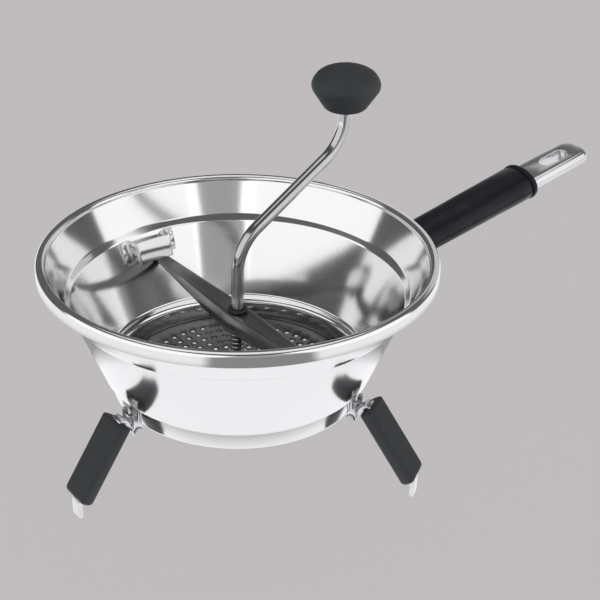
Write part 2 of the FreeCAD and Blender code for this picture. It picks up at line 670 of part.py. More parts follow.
def make_spring():
    # One wire wound in quarter turns, with a straight end one wire thick at top and foot.
    wire = 2 * SIZE["wire_radius"]
    coil = SIZE["coil_radius"]
    foot = value("spring_foot + wire_radius + 2 * slip_gap")
    top = value("spring_top - wire_radius - 2 * slip_gap")
    quarters = int(4 * SIZE["coil_turns"])

    def on_coil(quarter):
        turn = quarter * math.pi / 2
        return V(coil * math.cos(turn), coil * math.sin(turn), foot + (top - foot) * quarter / quarters)

    arcs = [Part.Arc(on_coil(i), on_coil(i + 0.5), on_coil(i + 1)) for i in range(quarters)]
    edges = [arc.toShape() for arc in arcs]
    first = edges[0].tangentAt(edges[0].FirstParameter)
    last = edges[-1].tangentAt(edges[-1].LastParameter)
    tail = on_coil(0) - first * wire
    head = on_coil(quarters) + last * wire
    edges = [Part.LineSegment(tail, on_coil(0)).toShape()] + edges
    edges.append(Part.LineSegment(on_coil(quarters), head).toShape())
    path = Part.Wire(edges)
    section = Part.Wire([Part.Circle(tail, first, SIZE["wire_radius"]).toShape()])
    spring = doc.addObject("Part::Feature", "spring")
    spring.Shape = path.makePipeShell([section], True, False)
    sub_part(spring, "pressure_spring")
    points = path.discretize(Distance=SIZE["wire_radius"])
    half_turn = int(math.pi * coil / SIZE["wire_radius"])
    apart = [(points[i] - other).Length for i in range(len(points)) for other in points[i + half_turn:]]
    print("spring: least gap to itself", round(min(apart) - wire, 2), "mm")


# Knob


def make_knob():
    top = "knob_level + knob_height"
    shoulder = "knob_level + knob_height - knob_rise"
    bore_end = "knob_level + knob_bore_depth"
    knob = turned("knob", [
        ("knob_bore", "knob_level"), ("knob_foot", "knob_level"),
        ("knob_radius", "knob_level + knob_waist"),
        ("knob_radius", shoulder, "(knob_radius^2 + knob_rise^2) / (2 * knob_rise)"),
        ("0", top), ("0", bore_end), ("knob_bore", bore_end),
    ])
    waist = SIZE["knob_level"] + SIZE["knob_waist"]
    round_edges(knob, "knob_waist_edge", "knob_round", circle_at(SIZE["knob_radius"], waist))
    round_edges(knob, "knob_shoulder_edge", "knob_round", circle_at(SIZE["knob_radius"], value(shoulder)))
    round_edges(knob, "knob_foot_edge", "knob_foot_round", circle_at(SIZE["knob_foot"], SIZE["knob_level"]))

    def ring(name, inner, outer, low, high):
        return turned(name, [(inner, low), (outer, low), (outer, high), (inner, high)])

    bush_foot = "knob_level + knob_bush_inset"
    bush_top = bush_foot + " + knob_bush_length"
    bush = ring("knob_bearing", "knob_pin_radius + slip_gap", "knob_bore - slip_gap", bush_foot, bush_top)
    nut_foot = bush_top + " + knob_float"
    nut = ring("push_nut", "knob_pin_radius + drill_gap", "nut_radius", nut_foot, nut_foot + " + nut_gauge")
    washer_top = "knob_level - knob_float"
    washer = ring("knob_seat", "knob_pin_radius + drill_gap", "knob_washer_radius",
                  washer_top + " - nut_gauge", washer_top)
    shift = about_z(0, V(SIZE["arm_reach"], 0, 0))
    labels = {"crank_knob": knob, "knob_bush": bush, "knob_push_nut": nut, "knob_washer": washer}
    for label, item in labels.items():
        item.Placement = shift
        sub_part(item, label)


# Handle


def handle_place():
    root = V(SIZE["handle_root"], 0, SIZE["handle_level"])
    return FreeCAD.Placement(root, FreeCAD.Rotation(Y_AXIS, -SIZE["handle_tilt"]))


def handle_box(name, start, length, half_width, half_height):
    """A block about the handle's middle line, bound to its sizes."""
    corner = V(value(start), -value(half_width), -value(half_height))
    place = handle_place().multiply(FreeCAD.Placement(corner, NO_TURN))
    block = primitive("Box", name, place, Length=length)
    return bind(block, Width=f"2 * ({half_width})", Height=f"2 * ({half_height})")


def oval(name, distance, half_width, half_height):
    """An upright oval across the handle's middle line."""
    ring = primitive("Ellipse", name, MajorRadius=half_width, MinorRadius=half_height)
    upright = FreeCAD.Rotation(Y_AXIS, Z_AXIS, X_AXIS, "ZXY")
    ring.Placement = handle_place().multiply(FreeCAD.Placement(V(value(distance), 0, 0), upright))
    return ring


def lofted(name, sections):
    item = doc.addObject("Part::Loft", name)
    item.Sections = sections
    item.Solid = True
    item.Ruled = True
    return item


def rivet_tools(name, radius):
    """Two upright rods through the socket and the core."""
    tools = []
    for side in (-1, 1):
        middle = V(SIZE["rivet_place"], side * SIZE["rivet_spread"], 0)
        reach = value("socket_rise + rivet_proud")
        ends = [handle_place().multVec(middle + V(0, 0, up * reach)) for up in (-1, 1)]
        tools.append(rod_between(f"{name}_{side + 1}", radius, *ends))
    return tools


def make_handle():
    core = new_body("core")
    padded(core, "core_plate", "XY_Plane", [
        ("core_start", "-core_half"), ("tail_start + tail_lap", "-core_half"),
        ("tail_start + tail_lap", "core_half"), ("core_start", "core_half"),
    ], "core_thick")
    padded(core, "tail_plate", "XY_Plane", [
        ("tail_start", "-tail_half"), ("core_length", "-tail_half"),
        ("core_length", "tail_half"), ("tail_start", "tail_half"),
    ], "tail_thick")
    slot = core.newObject("PartDesign::Pocket", "hanging_hole")
    left = "hang_centre - hang_length / 2"
    right = "hang_centre + hang_length / 2"
    slot.Profile = outline(core, "hanging_hole_outline", "XY_Plane", [
        (left, "-hang_width / 2"), (right, "-hang_width / 2"),
        (right, "hang_width / 2"), (left, "hang_width / 2"),
    ])
    slot.Type = "ThroughAll"
    slot.SideType = "Symmetric"

    def upright_at(low, high, half):
        def test(edge):
            ends = [vertex.Point for vertex in edge.Vertexes]
            if len(ends) != 2 or not (same(ends[0].x, ends[1].x) and same(ends[0].y, ends[1].y)):
                return False
            return low - TOLERANCE < ends[0].x < high + TOLERANCE and same(abs(ends[0].y), half)
        return test

    half_hole = SIZE["hang_length"] / 2
    round_edges(core, "core_end", "tail_round",
                upright_at(SIZE["core_length"], SIZE["core_length"], SIZE["tail_half"]))
    hole_start = SIZE["hang_centre"] - half_hole
    hole_end = SIZE["hang_centre"] + half_hole
    round_edges(core, "hanging_hole_ends", f"hang_width / 2 - {TOLERANCE}",
                upright_at(hole_start, hole_end, SIZE["hang_width"] / 2))

    def tail_rim(edge):
        spots = [vertex.Point for vertex in edge.Vertexes]
        level = all(same(abs(spot.z), SIZE["tail_thick"] / 2) for spot in spots)
        return level and max(spot.x for spot in spots) > hole_end + SIZE["tail_edge"] / 2

    round_edges(core, "tail_edges", "tail_edge", tail_rim)
    core.Placement = handle_place()
    core_holes = rivet_tools("core_rivet_hole", "handle_rivet + drill_gap")
    sub_part(cut_all("core", core, core_holes), "handle_core")

    slot_half = "core_half + slip_gap"
    slot_rise = "core_thick / 2 + slip_gap"
    tail_rise = "tail_thick / 2 + slip_gap"
    tail = ("tail_start - tail_gap", FAR / 2, "tail_half + slip_gap", tail_rise)
    grip = lofted("grip_outer", [
        oval("grip_near_tip", "grip_start", "grip_near_half - grip_round", "grip_near_rise - grip_round"),
        oval("grip_near", "grip_start + grip_round", "grip_near_half", "grip_near_rise"),
        oval("grip_far", "grip_end", "grip_far_half", "grip_far_rise"),
    ])
    grip_slot = handle_box("grip_slot", "0", FAR / 2, slot_half, slot_rise)
    sub_part(cut("grip_slotted", grip, grip_slot), "handle_grip")

    ring_start = "grip_end + slip_gap"
    ring_half = "grip_far_half + grip_ring_proud"
    ring_rise = "grip_far_rise + grip_ring_proud"
    ring_end = ring_start + " + grip_ring"
    ring = lofted("ring_outer", [
        oval("ring_near", ring_start, ring_half, ring_rise),
        oval("ring_middle", ring_end + " - grip_round", ring_half, ring_rise),
        oval("ring_far", ring_end, ring_half + " - grip_round", ring_rise + " - grip_round"),
    ])
    ring_slots = [handle_box("ring_core_slot", "0", FAR / 2, slot_half, slot_rise),
                  handle_box("ring_tail_slot", *tail)]
    sub_part(cut_all("grip_ring_slotted", ring, ring_slots), "grip_end_ring")

    wall_face = f"gauge * (1 + {CONE_RUN} / {CONE_RISE}) + weld_gap"
    plate_face = wall_face + " + bracket_gauge"
    plate = cone_patch("bracket_plate", BRACKET_FOOT, BRACKET_TOP, plate_face, wall_face,
                       -BRACKET_SWEEP / 2, BRACKET_SWEEP)
    socket = handle_box("socket_block", "-socket_length", "2 * socket_length", "socket_half", "socket_rise")
    low = "shoulder_height"
    wall = primitive("Cone", "bracket_wall_tool", about_z(0, V(0, 0, value(low))),
                     Radius1=f"{wall_radius(low)} + {wall_face}",
                     Radius2=f"{wall_radius(BRACKET_TOP)} + {wall_face}", Height=f"{BRACKET_TOP} - {low}")
    core_slot = handle_box("socket_slot", "core_start - slip_gap", FAR / 2, slot_half, slot_rise)
    bracket = cut_all("bracket", fuse("bracket_blank", [plate, cut("socket_trimmed", socket, wall)]),
                      [core_slot] + rivet_tools("bracket_rivet_hole", "handle_rivet + drill_gap"))
    sub_part(bracket, "handle_bracket")
    sub_part(group("rivets", rivet_tools("handle_rivet", "handle_rivet")), "handle_rivets")


# Legs


def leg_place(bearing):
    turn = FreeCAD.Rotation(Z_AXIS, bearing)
    pin = turn.multVec(V(SIZE["hinge_radius"], 0, SIZE["hinge_level"]))
    return FreeCAD.Placement(pin, turn)


def leg_block(name, place, start, length, width, thick):
    """A block that hangs down its own line from a start, centred on the line."""
    corner = V(-value(thick) / 2, -value(width) / 2, -value(start) - value(length))
    return primitive("Box", name, place.multiply(FreeCAD.Placement(corner, NO_TURN)),
                     Length=thick, Width=width, Height=length)


def make_leg(tag, bearing):
    place = leg_place(bearing)
    knee = V(SIZE["knee_out"], 0, SIZE["knee_up"])
    splay = FreeCAD.Rotation(Y_AXIS, -SIZE["leg_splay"])
    shank = place.multiply(FreeCAD.Placement(knee, splay))
    arm_turn = FreeCAD.Rotation(Y_AXIS, math.degrees(math.atan2(knee.x, knee.z)) + 180)
    arm = place.multiply(FreeCAD.Placement(V(0, 0, 0), arm_turn))
    half = SIZE["strut_width"] / 2

    def across(name, at, radius, reach):
        ends = [place.multVec(at + V(0, side * reach, 0)) for side in (-1, 1)]
        return rod_between(name, radius, *ends)

    shank_length = value("sleeve_start + sleeve_length + toe_gap")
    toe = knee + splay.multVec(V(0, 0, -shank_length))
    upright = place.multiply(FreeCAD.Placement(toe, NO_TURN))
    drop = toe.z + SIZE["hinge_level"] - SIZE["foot_level"]
    pieces = [
        across(f"eye_{tag}", V(0, 0, 0), "eye_radius", half),
        across(f"knee_{tag}", knee, "strut_thick / 2", half),
        leg_block(f"arm_{tag}", arm, "0", knee.Length, "strut_width", "strut_thick"),
        leg_block(f"shank_{tag}", shank, "0", shank_length, "strut_width", "strut_thick"),
        across(f"toe_bend_{tag}", toe, "strut_thick / 2", half),
        leg_block(f"toe_{tag}", upright, "0", drop, "strut_width", "strut_thick"),
    ]
    pin_hole = across(f"eye_hole_{tag}", V(0, 0, 0), "pin_radius + pin_clearance", FAR / 10)
    strut = cut_all(f"strut_{tag}", fuse(f"strut_blank_{tag}", pieces), [pin_hole])
    sub_part(strut, f"leg_strut_{tag}")

    block = leg_block(f"sleeve_block_{tag}", shank, "sleeve_start", "sleeve_length", "sleeve_width",
                      "sleeve_thick")
    doc.recompute()
    rounded = doc.addObject("Part::Fillet", f"sleeve_round_{tag}")
    rounded.Base = block
    rounded.Edges = [(i, SIZE["sleeve_round"], SIZE["sleeve_round"]) for i in range(1, 13)]
    slot = leg_block(f"sleeve_slot_{tag}", shank, "0", FAR / 2, "strut_width + 2 * slip_gap",
                     "strut_thick + 2 * slip_gap")
    sub_part(cut(f"sleeve_{tag}", rounded, slot), f"leg_sleeve_{tag}")

    make_leg_bracket(tag, bearing, across)
    head_start = value("strut_width / 2 + ear_gap + ear_gauge + slip_gap")
    head_end = head_start + SIZE["pin_head_height"]
    heads = []
    for side in (-1, 1):
        ends = [place.multVec(V(0, side * reach, 0)) for reach in (head_start, head_end)]
        heads.append(rod_between(f"pin_head_{tag}_{side + 1}", "pin_head", *ends))
    shaft = across(f"pin_shaft_{tag}", V(0, 0, 0), "pin_radius", head_end)
    sub_part(fuse(f"pin_{tag}", [shaft] + heads), f"leg_pin_{tag}")


def make_leg_bracket(tag, bearing, across):
    place = leg_place(bearing)
    shells = []
    for name, radius, sweep in (("outer", f"outlet_radius + weld_gap + {LEG_PLATE_GAUGE}", LEG_PLATE_SWEEP),
                                ("inner", "outlet_radius + weld_gap", 360.0)):
        shell = primitive("Cylinder", f"leg_plate_{name}_{tag}", Radius=radius)
        shell.Height = LEG_PLATE_TOP - LEG_PLATE_FOOT
        shell.Angle = sweep
        shell.Placement = about_z(bearing - LEG_PLATE_SWEEP / 2, V(0, 0, LEG_PLATE_FOOT))
        shells.append(shell)
    plate = cut(f"leg_plate_{tag}", *shells)
    inner = SIZE["strut_width"] / 2 + SIZE["ear_gap"]
    eye = SIZE["eye_radius"]
    ears = []
    for side in (-1, 1):
        low = inner if side > 0 else -inner - SIZE["ear_gauge"]
        corner = place.multiply(FreeCAD.Placement(V(-eye - SIZE["ear_root"], low, 0), NO_TURN))
        ears.append(primitive("Box", f"ear_{tag}_{side + 1}", corner,
                              Length="2 * eye_radius + ear_root", Width="ear_gauge", Height=EAR_RISE))
        ends = [place.multVec(V(0, low + step, 0)) for step in (0, SIZE["ear_gauge"])]
        ears.append(rod_between(f"ear_round_{tag}_{side + 1}", "eye_radius", *ends))
    band = primitive("Cylinder", f"band_tool_{tag}", about_z(0, V(0, 0, -SIZE["weld_gap"])),
                     Radius="outlet_radius + weld_gap", Height=FAR / 5)
    pin_hole = across(f"ear_hole_{tag}", V(0, 0, 0), "pin_radius + drill_gap", FAR / 10)
    blank = fuse(f"leg_bracket_blank_{tag}", [plate] + ears)
    sub_part(cut_all(f"leg_bracket_{tag}", blank, [band, pin_hole]), f"leg_bracket_{tag}")


make_bowl()
make_sieve()
make_crossbar()
make_keepers()
make_crank()
make_scraper()
make_spring()
make_knob()
make_handle()
for leg_tag, leg_bearing in LEG_BEARINGS.items():
    make_leg(leg_tag, leg_bearing)
doc.recompute()

for item in doc.Objects:
    if "Invalid" in item.State or "Error" in item.State:
        raise RuntimeError(f"{item.Name} failed: {item.State}")
for node in nodes:
    if node.Shape.isNull() or not node.Shape.isValid():
        raise RuntimeError(f"{node.Label} has no valid shape")

os.makedirs("parts", exist_ok=True)
for node in nodes:
    node.Shape.exportStep(f"parts/{node.Label}.step")
    print(f"{node.Label}: {len(node.Shape.Solids)} solid(s), {node.Shape.Volume / 1000:.2f} cm3")
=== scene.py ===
"""Looks of a hand-cranked food mill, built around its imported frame.

Sizes in the property groups are in metres, as the frame is. Outlines inside the operators are in
millimetres, and each finished piece is brought to metres once, when it becomes an object.
"""

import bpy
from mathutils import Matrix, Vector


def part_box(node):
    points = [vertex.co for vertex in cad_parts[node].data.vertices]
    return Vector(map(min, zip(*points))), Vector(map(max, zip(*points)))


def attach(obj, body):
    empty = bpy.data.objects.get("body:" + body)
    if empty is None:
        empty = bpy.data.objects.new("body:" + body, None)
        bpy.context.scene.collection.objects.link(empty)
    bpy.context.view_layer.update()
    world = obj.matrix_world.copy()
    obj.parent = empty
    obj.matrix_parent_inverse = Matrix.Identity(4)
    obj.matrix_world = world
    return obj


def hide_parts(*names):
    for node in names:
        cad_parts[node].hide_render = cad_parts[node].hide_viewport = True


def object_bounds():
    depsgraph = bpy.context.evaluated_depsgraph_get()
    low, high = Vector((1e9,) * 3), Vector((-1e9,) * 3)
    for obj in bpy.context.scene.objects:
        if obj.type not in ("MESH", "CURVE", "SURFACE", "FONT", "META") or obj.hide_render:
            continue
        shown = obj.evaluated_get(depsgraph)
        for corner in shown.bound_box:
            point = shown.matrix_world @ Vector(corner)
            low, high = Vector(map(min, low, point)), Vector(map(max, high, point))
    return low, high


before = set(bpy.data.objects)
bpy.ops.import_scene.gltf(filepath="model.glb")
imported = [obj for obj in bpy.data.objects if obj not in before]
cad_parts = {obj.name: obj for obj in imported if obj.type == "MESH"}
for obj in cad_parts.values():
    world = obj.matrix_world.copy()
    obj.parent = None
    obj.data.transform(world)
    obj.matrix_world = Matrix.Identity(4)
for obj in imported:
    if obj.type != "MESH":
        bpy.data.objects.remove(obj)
CAD_BOX = [list(corner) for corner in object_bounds()]

import math

import bmesh
import bpy
from bpy.props import FloatProperty, FloatVectorProperty, PointerProperty
from bpy.types import Operator, Panel, PropertyGroup
from mathutils import Matrix, Vector

bl_info = {
    "name": "Food Mill",
    "version": (1, 0, 0),
    "blender": (4, 5, 0),
    "location": "View3D > Sidebar > Food Mill",
    "description": "Builds the bowl, sieve, crank, handle and legs of a hand-cranked food mill",
    "category": "Object",
}

MM = 0.001
TURN = 2 * math.pi
Y_AXIS = Vector((0, 1, 0))
Z_AXIS = Vector((0, 0, 1))
ROUND_STEPS = 256
SMALL_STEPS = 64
MERGE_GAP = 0.001
SHARP_TURN = 1.2
LEGS = {"left": 182, "right": 302, "back": 62}
KEEPERS = {"far": 90, "near": 270}
FLOOR_LEVEL = CAD_BOX[0][2]
VIEW_TURN = -34.0
VIEW_DIP = 28.63
# Turn from the view's bearing to the middle of the painted shadow wedge that reflections see on the floor.
VIEW_GAP = 11.0


# Sizes and colours


def length(name, default, description):
    return FloatProperty(name=name, description=description, default=default, min=0.0, unit="LENGTH")


def angle(name, degrees, description):
    return FloatProperty(name=name, description=description, default=math.radians(degrees), subtype="ANGLE")


def colour(name, default, description):
    return FloatVectorProperty(name=name, description=description, default=default, subtype="COLOR",
                               min=0.0, max=1.0)


class MillSizes(PropertyGroup):
    """Sizes of the mill's pieces"""

    rim_radius: length("Rim radius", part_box("bowl_shell")[1].y, "Outer radius of the rolled rim")
    rim_height: length("Rim height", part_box("bowl_shell")[1].z, "Level of the top of the rolled rim")
    hole_radius: length("Hole radius", 0.0018, "Radius of one hole of the sieve")
    hole_pitch: length("Hole pitch", 0.0075, "Distance between holes along a ring of the sieve")
    lip_rise: length("Lip rise", 0.0005, "How far the lip of a sieve hole stands up")
    sheet_gauge: length("Sheet gauge", 0.0012, "Thickness of the crossbar and the keepers")
    rod_radius: length("Rod radius", 0.0039, "Radius of the crank rod")
    bend_radius: length("Bend radius", 0.032, "Radius of the crank rod's bends along its middle line")
    coil_radius: length("Coil radius", 0.00395, "Radius of the spring's coil along its wire")
    wire_radius: length("Wire radius", 0.0008, "Radius of the spring's wire")
    coil_turns: FloatProperty(name="Coil turns", description="Open turns of the spring", default=7.5,
                              min=1.0)
    knob_radius: length("Knob radius", 0.0218, "Widest radius of the crank knob")
    handle_tilt: angle("Handle tilt", 11.3, "How far the handle rises from level")
    seam_depth: length("Seam depth", 0.0008, "Depth of the parting line along the grip")
    sleeve_width: length("Sleeve width", 0.0225, "Width of a leg's sleeve")
    sleeve_thickness: length("Sleeve thickness", 0.0095, "Thickness of a leg's sleeve")
    leg_splay: angle("Leg splay", 34.4, "How far a leg stands out from upright")
    strut_width: length("Strut width", 0.009, "Width of a leg's steel strut")
    strut_thickness: length("Strut thickness", 0.0026, "Thickness of a leg's steel strut")


class MillColours(PropertyGroup):
    """Colours of the mill's finishes"""

    polished: colour("Polished steel", (0.85, 0.86, 0.88), "Mirror-polished sheet of the bowl")
    bright: colour("Bright steel", (0.70, 0.70, 0.71), "Handle bar, keepers and small hardware")
    rod: colour("Rod steel", (0.50, 0.50, 0.51), "Drawn rod of the crank")
    satin: colour("Satin steel", (0.24, 0.24, 0.247), "Brushed sheet of the crossbar, blade and bracket")
    # Very dark tint: partly the pressed sheet's own duller tone, partly painted shade for the dim bottom of
    # the bowl.
    sieve: colour("Sieve steel", (0.13, 0.13, 0.135), "Pressed sheet of the sieve disc")
    wire: colour("Spring wire", (0.34, 0.34, 0.35), "Wire of the pressure spring")
    black: colour("Black plastic", (0.006, 0.007, 0.012), "Moulded knob, grip, bush and sleeves")
    nylon: colour("White nylon", (0.80, 0.79, 0.75), "Bearing inside the knob")
    floor: colour("Floor", (0.521, 0.498, 0.503), "Plain floor under the mill")
    sweep: colour("Studio light", (1.0, 1.0, 1.0), "Light of the soft boxes")


# Mesh helpers


def mm(metres):
    return metres / MM


def only(kind, items):
    return [item for item in items if isinstance(item, kind)]


def unique(items):
    return list(dict.fromkeys(items))


def new_verts(geom):
    return only(bmesh.types.BMVert, geom)


def loop_edges(verts):
    """The edges that run between the given vertices."""
    chosen = set(verts)
    return unique(edge for vert in verts for edge in vert.link_edges if chosen.issuperset(edge.verts))


def wire(bm, points, closed=True):
    verts = [bm.verts.new(point) for point in points]
    ends = verts[1:] + verts[:1] if closed else verts[1:]
    for start, end in zip(verts, ends):
        bm.edges.new((start, end))
    return verts


def round_corners(bm, verts, reaches, segments):
    for vert, reach in zip(verts, reaches):
        if reach:
            bmesh.ops.bevel(bm, geom=[vert], offset=reach, offset_type="OFFSET", affect="VERTICES",
                            segments=segments, profile=0.5, material=-1)


def lathe(outline, steps, centre=(0, 0, 0), segments=5):
    """Spins a closed outline of (radius, level, corner rounding) about an upright axis."""
    bm = bmesh.new()
    middle = Vector(centre)
    verts = wire(bm, [middle + Vector((radius, 0, level)) for radius, level, _ in outline])
    round_corners(bm, verts, [reach for _, _, reach in outline], segments)
    bmesh.ops.spin(bm, geom=bm.verts[:] + bm.edges[:], cent=middle, axis=Z_AXIS, angle=TURN,
                   steps=steps, use_merge=True)
    return closed_up(bm)


def circle(bm, radius, steps, place=None):
    return bmesh.ops.create_circle(bm, segments=steps, radius=radius, matrix=place or Matrix())["verts"]


def push(bm, verts, move, grow=None, about=(0, 0, 0)):
    """Extrudes a loop of edges, moves the new loop, then scales it about a point."""
    made = bmesh.ops.extrude_edge_only(bm, edges=loop_edges(verts))["geom"]
    fresh = new_verts(made)
    bmesh.ops.translate(bm, vec=Vector(move), verts=fresh)
    if grow:
        bmesh.ops.scale(bm, vec=Vector(grow), space=Matrix.Translation(-Vector(about)), verts=fresh)
    return fresh


def turn_loop(bm, verts, centre, axis, turned, steps):
    """Carries a loop of edges round an axis and returns the loop at the far end."""
    geom = list(verts) + loop_edges(verts)
    made = bmesh.ops.spin(bm, geom=geom, cent=Vector(centre), axis=axis, angle=turned, steps=steps)
    return new_verts(made["geom_last"])


def cap(bm, verts):
    bmesh.ops.edgeloop_fill(bm, edges=loop_edges(verts))


def closed_up(bm):
    bmesh.ops.remove_doubles(bm, verts=bm.verts, dist=MERGE_GAP)
    bmesh.ops.recalc_face_normals(bm, faces=bm.faces)
    return bm


def soften(bm, edges, width, segments=3):
    bmesh.ops.bevel(bm, geom=edges, offset=width, offset_type="OFFSET", affect="EDGES", segments=segments,
                    profile=0.5, material=-1)


def sharp_edges(bm):
    """The edges at which two faces meet at a sharp turn."""
    return [edge for edge in bm.edges if edge.calc_face_angle(0) > SHARP_TURN]


def sheet_up(bm, gauge):
    """Turns an open sheet whose faces look along +Z into a wall of the given gauge below it."""
    bmesh.ops.recalc_face_normals(bm, faces=bm.faces)
    bm.normal_update()
    lift = sum(face.normal.z * face.calc_area() for face in bm.faces)
    if lift <= 0:
        bmesh.ops.reverse_faces(bm, faces=bm.faces)
    bmesh.ops.solidify(bm, geom=bm.faces[:], thickness=gauge)
    return bm


def joined(bm, other, place):
    """Adds another mesh to the first, set in its place."""
    bmesh.ops.transform(other, matrix=place, verts=other.verts)
    scratch = bpy.data.meshes.new("scratch")
    other.to_mesh(scratch)
    other.free()
    bm.from_mesh(scratch)
    bpy.data.meshes.remove(scratch)
    return bm


def piece(name, bm, body, slot, material, *nodes, sharp=35):
    """Makes the mesh an object that rides on a body and stands for its nodes."""
    bmesh.ops.scale(bm, vec=Vector((MM, MM, MM)), verts=bm.verts)
    mesh = bpy.data.meshes.new(name)
    bm.to_mesh(mesh)
    bm.free()
    mesh.shade_smooth()
    mesh.set_sharp_from_angle(angle=math.radians(sharp))
    mesh.materials.append(material)
    made = bpy.data.objects.new(name, mesh)
    bpy.context.scene.collection.objects.link(made)
    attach(made, body)
    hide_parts(*nodes)
    return made


def finish_node(name, material):
    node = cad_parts[name]
    node.data.materials.clear()
    node.data.materials.append(material)


# Material helpers


def add(tree, kind, settings=None, **wires):
    """Adds a node; wires name its inputs, and a socket among them is linked."""
    made = tree.nodes.new(kind)
    for key, setting in (settings or {}).items():
        setattr(made, key, setting)
    for key, feed in wires.items():
        plug = made.inputs[int(key[1:])] if key[1:].isdigit() else made.inputs[key.replace("_", " ")]
        if isinstance(feed, bpy.types.NodeSocket):
            tree.links.new(feed, plug)
        else:
            plug.default_value = feed
    return made


def blend_value(tree, factor, low, high):
    return add(tree, "ShaderNodeMapRange", Value=factor, To_Min=low, To_Max=high).outputs["Result"]


def blend_colour(tree, factor, low, high):
    made = add(tree, "ShaderNodeMix", {"data_type": "RGBA"}, _0=factor, _6=(*low, 1), _7=(*high, 1))
    return made.outputs[2]


def new_group(name, inputs, outputs):
    tree = bpy.data.node_groups.new(name, "ShaderNodeTree")
    for socket, kind, default in inputs:
        made = tree.interface.new_socket(socket, in_out="INPUT", socket_type=kind)
        if default is not None:
            made.default_value = default
    for socket in outputs:
        tree.interface.new_socket(socket, in_out="OUTPUT", socket_type="NodeSocketFloat")
    return tree, tree.nodes.new("NodeGroupInput"), tree.nodes.new("NodeGroupOutput")


def turned_lines():
    """Fine rings left by polishing on a spindle about the upright axis."""
    known = bpy.data.node_groups.get("turned_lines")
    if known:
        return known
    sockets = [("Vector", "NodeSocketVector", None), ("Density", "NodeSocketFloat", 2500.0)]
    tree, source, drain = new_group("turned_lines", sockets, ["Lines"])
    flat = add(tree, "ShaderNodeVectorMath", {"operation": "MULTIPLY"}, _0=source.outputs["Vector"],
               _1=(1, 1, 0))
    radius = add(tree, "ShaderNodeVectorMath", {"operation": "LENGTH"}, _0=flat.outputs[0])
    split = add(tree, "ShaderNodeSeparateXYZ", Vector=source.outputs["Vector"])
    place = add(tree, "ShaderNodeCombineXYZ", X=radius.outputs["Value"], Y=split.outputs["Z"])
    drawn = add(tree, "ShaderNodeVectorMath", {"operation": "SCALE"}, _0=place.outputs[0],
                Scale=source.outputs["Density"])
    noise = add(tree, "ShaderNodeTexNoise", Vector=drawn.outputs[0], Scale=1.0, Detail=3.0, Roughness=0.6)
    tree.links.new(noise.outputs["Fac"], drain.inputs["Lines"])
    return tree


def brushed_lines():
    """Fine straight scratches along the direction in which the given place is stretched."""
    known = bpy.data.node_groups.get("brushed_lines")
    if known:
        return known
    tree, source, drain = new_group("brushed_lines", [("Vector", "NodeSocketVector", None)], ["Lines"])
    noise = add(tree, "ShaderNodeTexNoise", Vector=source.outputs["Vector"], Scale=1.0, Detail=4.0,
                Roughness=0.65)
    tree.links.new(noise.outputs["Fac"], drain.inputs["Lines"])
    return tree


def handling_marks():
    """Broad faint patches left by washing and handling."""
    known = bpy.data.node_groups.get("handling_marks")
    if known:
        return known
    sockets = [("Vector", "NodeSocketVector", None), ("Scale", "NodeSocketFloat", 30.0)]
    tree, source, drain = new_group("handling_marks", sockets, ["Marks"])
    noise = add(tree, "ShaderNodeTexNoise", Vector=source.outputs["Vector"], Scale=source.outputs["Scale"],
                Detail=2.0, Distortion=0.6)
    spread = add(tree, "ShaderNodeMapRange", Value=noise.outputs["Fac"], From_Min=0.35, From_Max=0.7)
    tree.links.new(spread.outputs["Result"], drain.inputs["Marks"])
    return tree


def moulded_grain():
    """Fine pebbled grain of a moulded plastic."""
    known = bpy.data.node_groups.get("moulded_grain")
    if known:
        return known
    sockets = [("Vector", "NodeSocketVector", None), ("Scale", "NodeSocketFloat", 1400.0)]
    tree, source, drain = new_group("moulded_grain", sockets, ["Grain"])
    cells = add(tree, "ShaderNodeTexVoronoi", {"feature": "SMOOTH_F1"}, Vector=source.outputs["Vector"],
                Scale=source.outputs["Scale"])
    tree.links.new(cells.outputs["Distance"], drain.inputs["Grain"])
    return tree


def placed(tree, shared, **wires):
    return add(tree, "ShaderNodeGroup", {"node_tree": shared}, **wires)


def blank(name):
    made = bpy.data.materials.new(name)
    made.use_nodes = True
    tree = made.node_tree
    shader = tree.nodes["Principled BSDF"]
    coords = add(tree, "ShaderNodeTexCoord").outputs["Object"]
    return made, tree, shader, coords


def steel(name, tint, roughness, depth, stretch=None, density=None, marks_scale=30.0):
    """Steel with ring-shaped or straight finishing lines and faint handling marks."""
    known = bpy.data.materials.get(name)
    if known:
        return known
    made, tree, shader, coords = blank(name)
    shader.inputs["Metallic"].default_value = 1.0
    if density:
        lines = placed(tree, turned_lines(), Vector=coords, Density=density).outputs["Lines"]
    else:
        drawn = add(tree, "ShaderNodeMapping", Vector=coords, Scale=stretch).outputs["Vector"]
        lines = placed(tree, brushed_lines(), Vector=drawn).outputs["Lines"]
    marks = placed(tree, handling_marks(), Vector=coords, Scale=marks_scale).outputs["Marks"]
    both = add(tree, "ShaderNodeMath", {"operation": "MULTIPLY_ADD"}, _0=marks, _1=0.5, _2=lines).outputs[0]
    smooth, coarse = roughness
    rough = add(tree, "ShaderNodeMapRange", Value=both, From_Min=0.2, From_Max=1.2, To_Min=smooth,
                To_Max=coarse)
    tree.links.new(rough.outputs["Result"], shader.inputs["Roughness"])
    dull = [channel * 0.9 for channel in tint]
    tree.links.new(blend_colour(tree, marks, tint, dull), shader.inputs["Base Color"])
    bump = add(tree, "ShaderNodeBump", Strength=0.25, Distance=depth, Height=lines)
    tree.links.new(bump.outputs["Normal"], shader.inputs["Normal"])
    return made


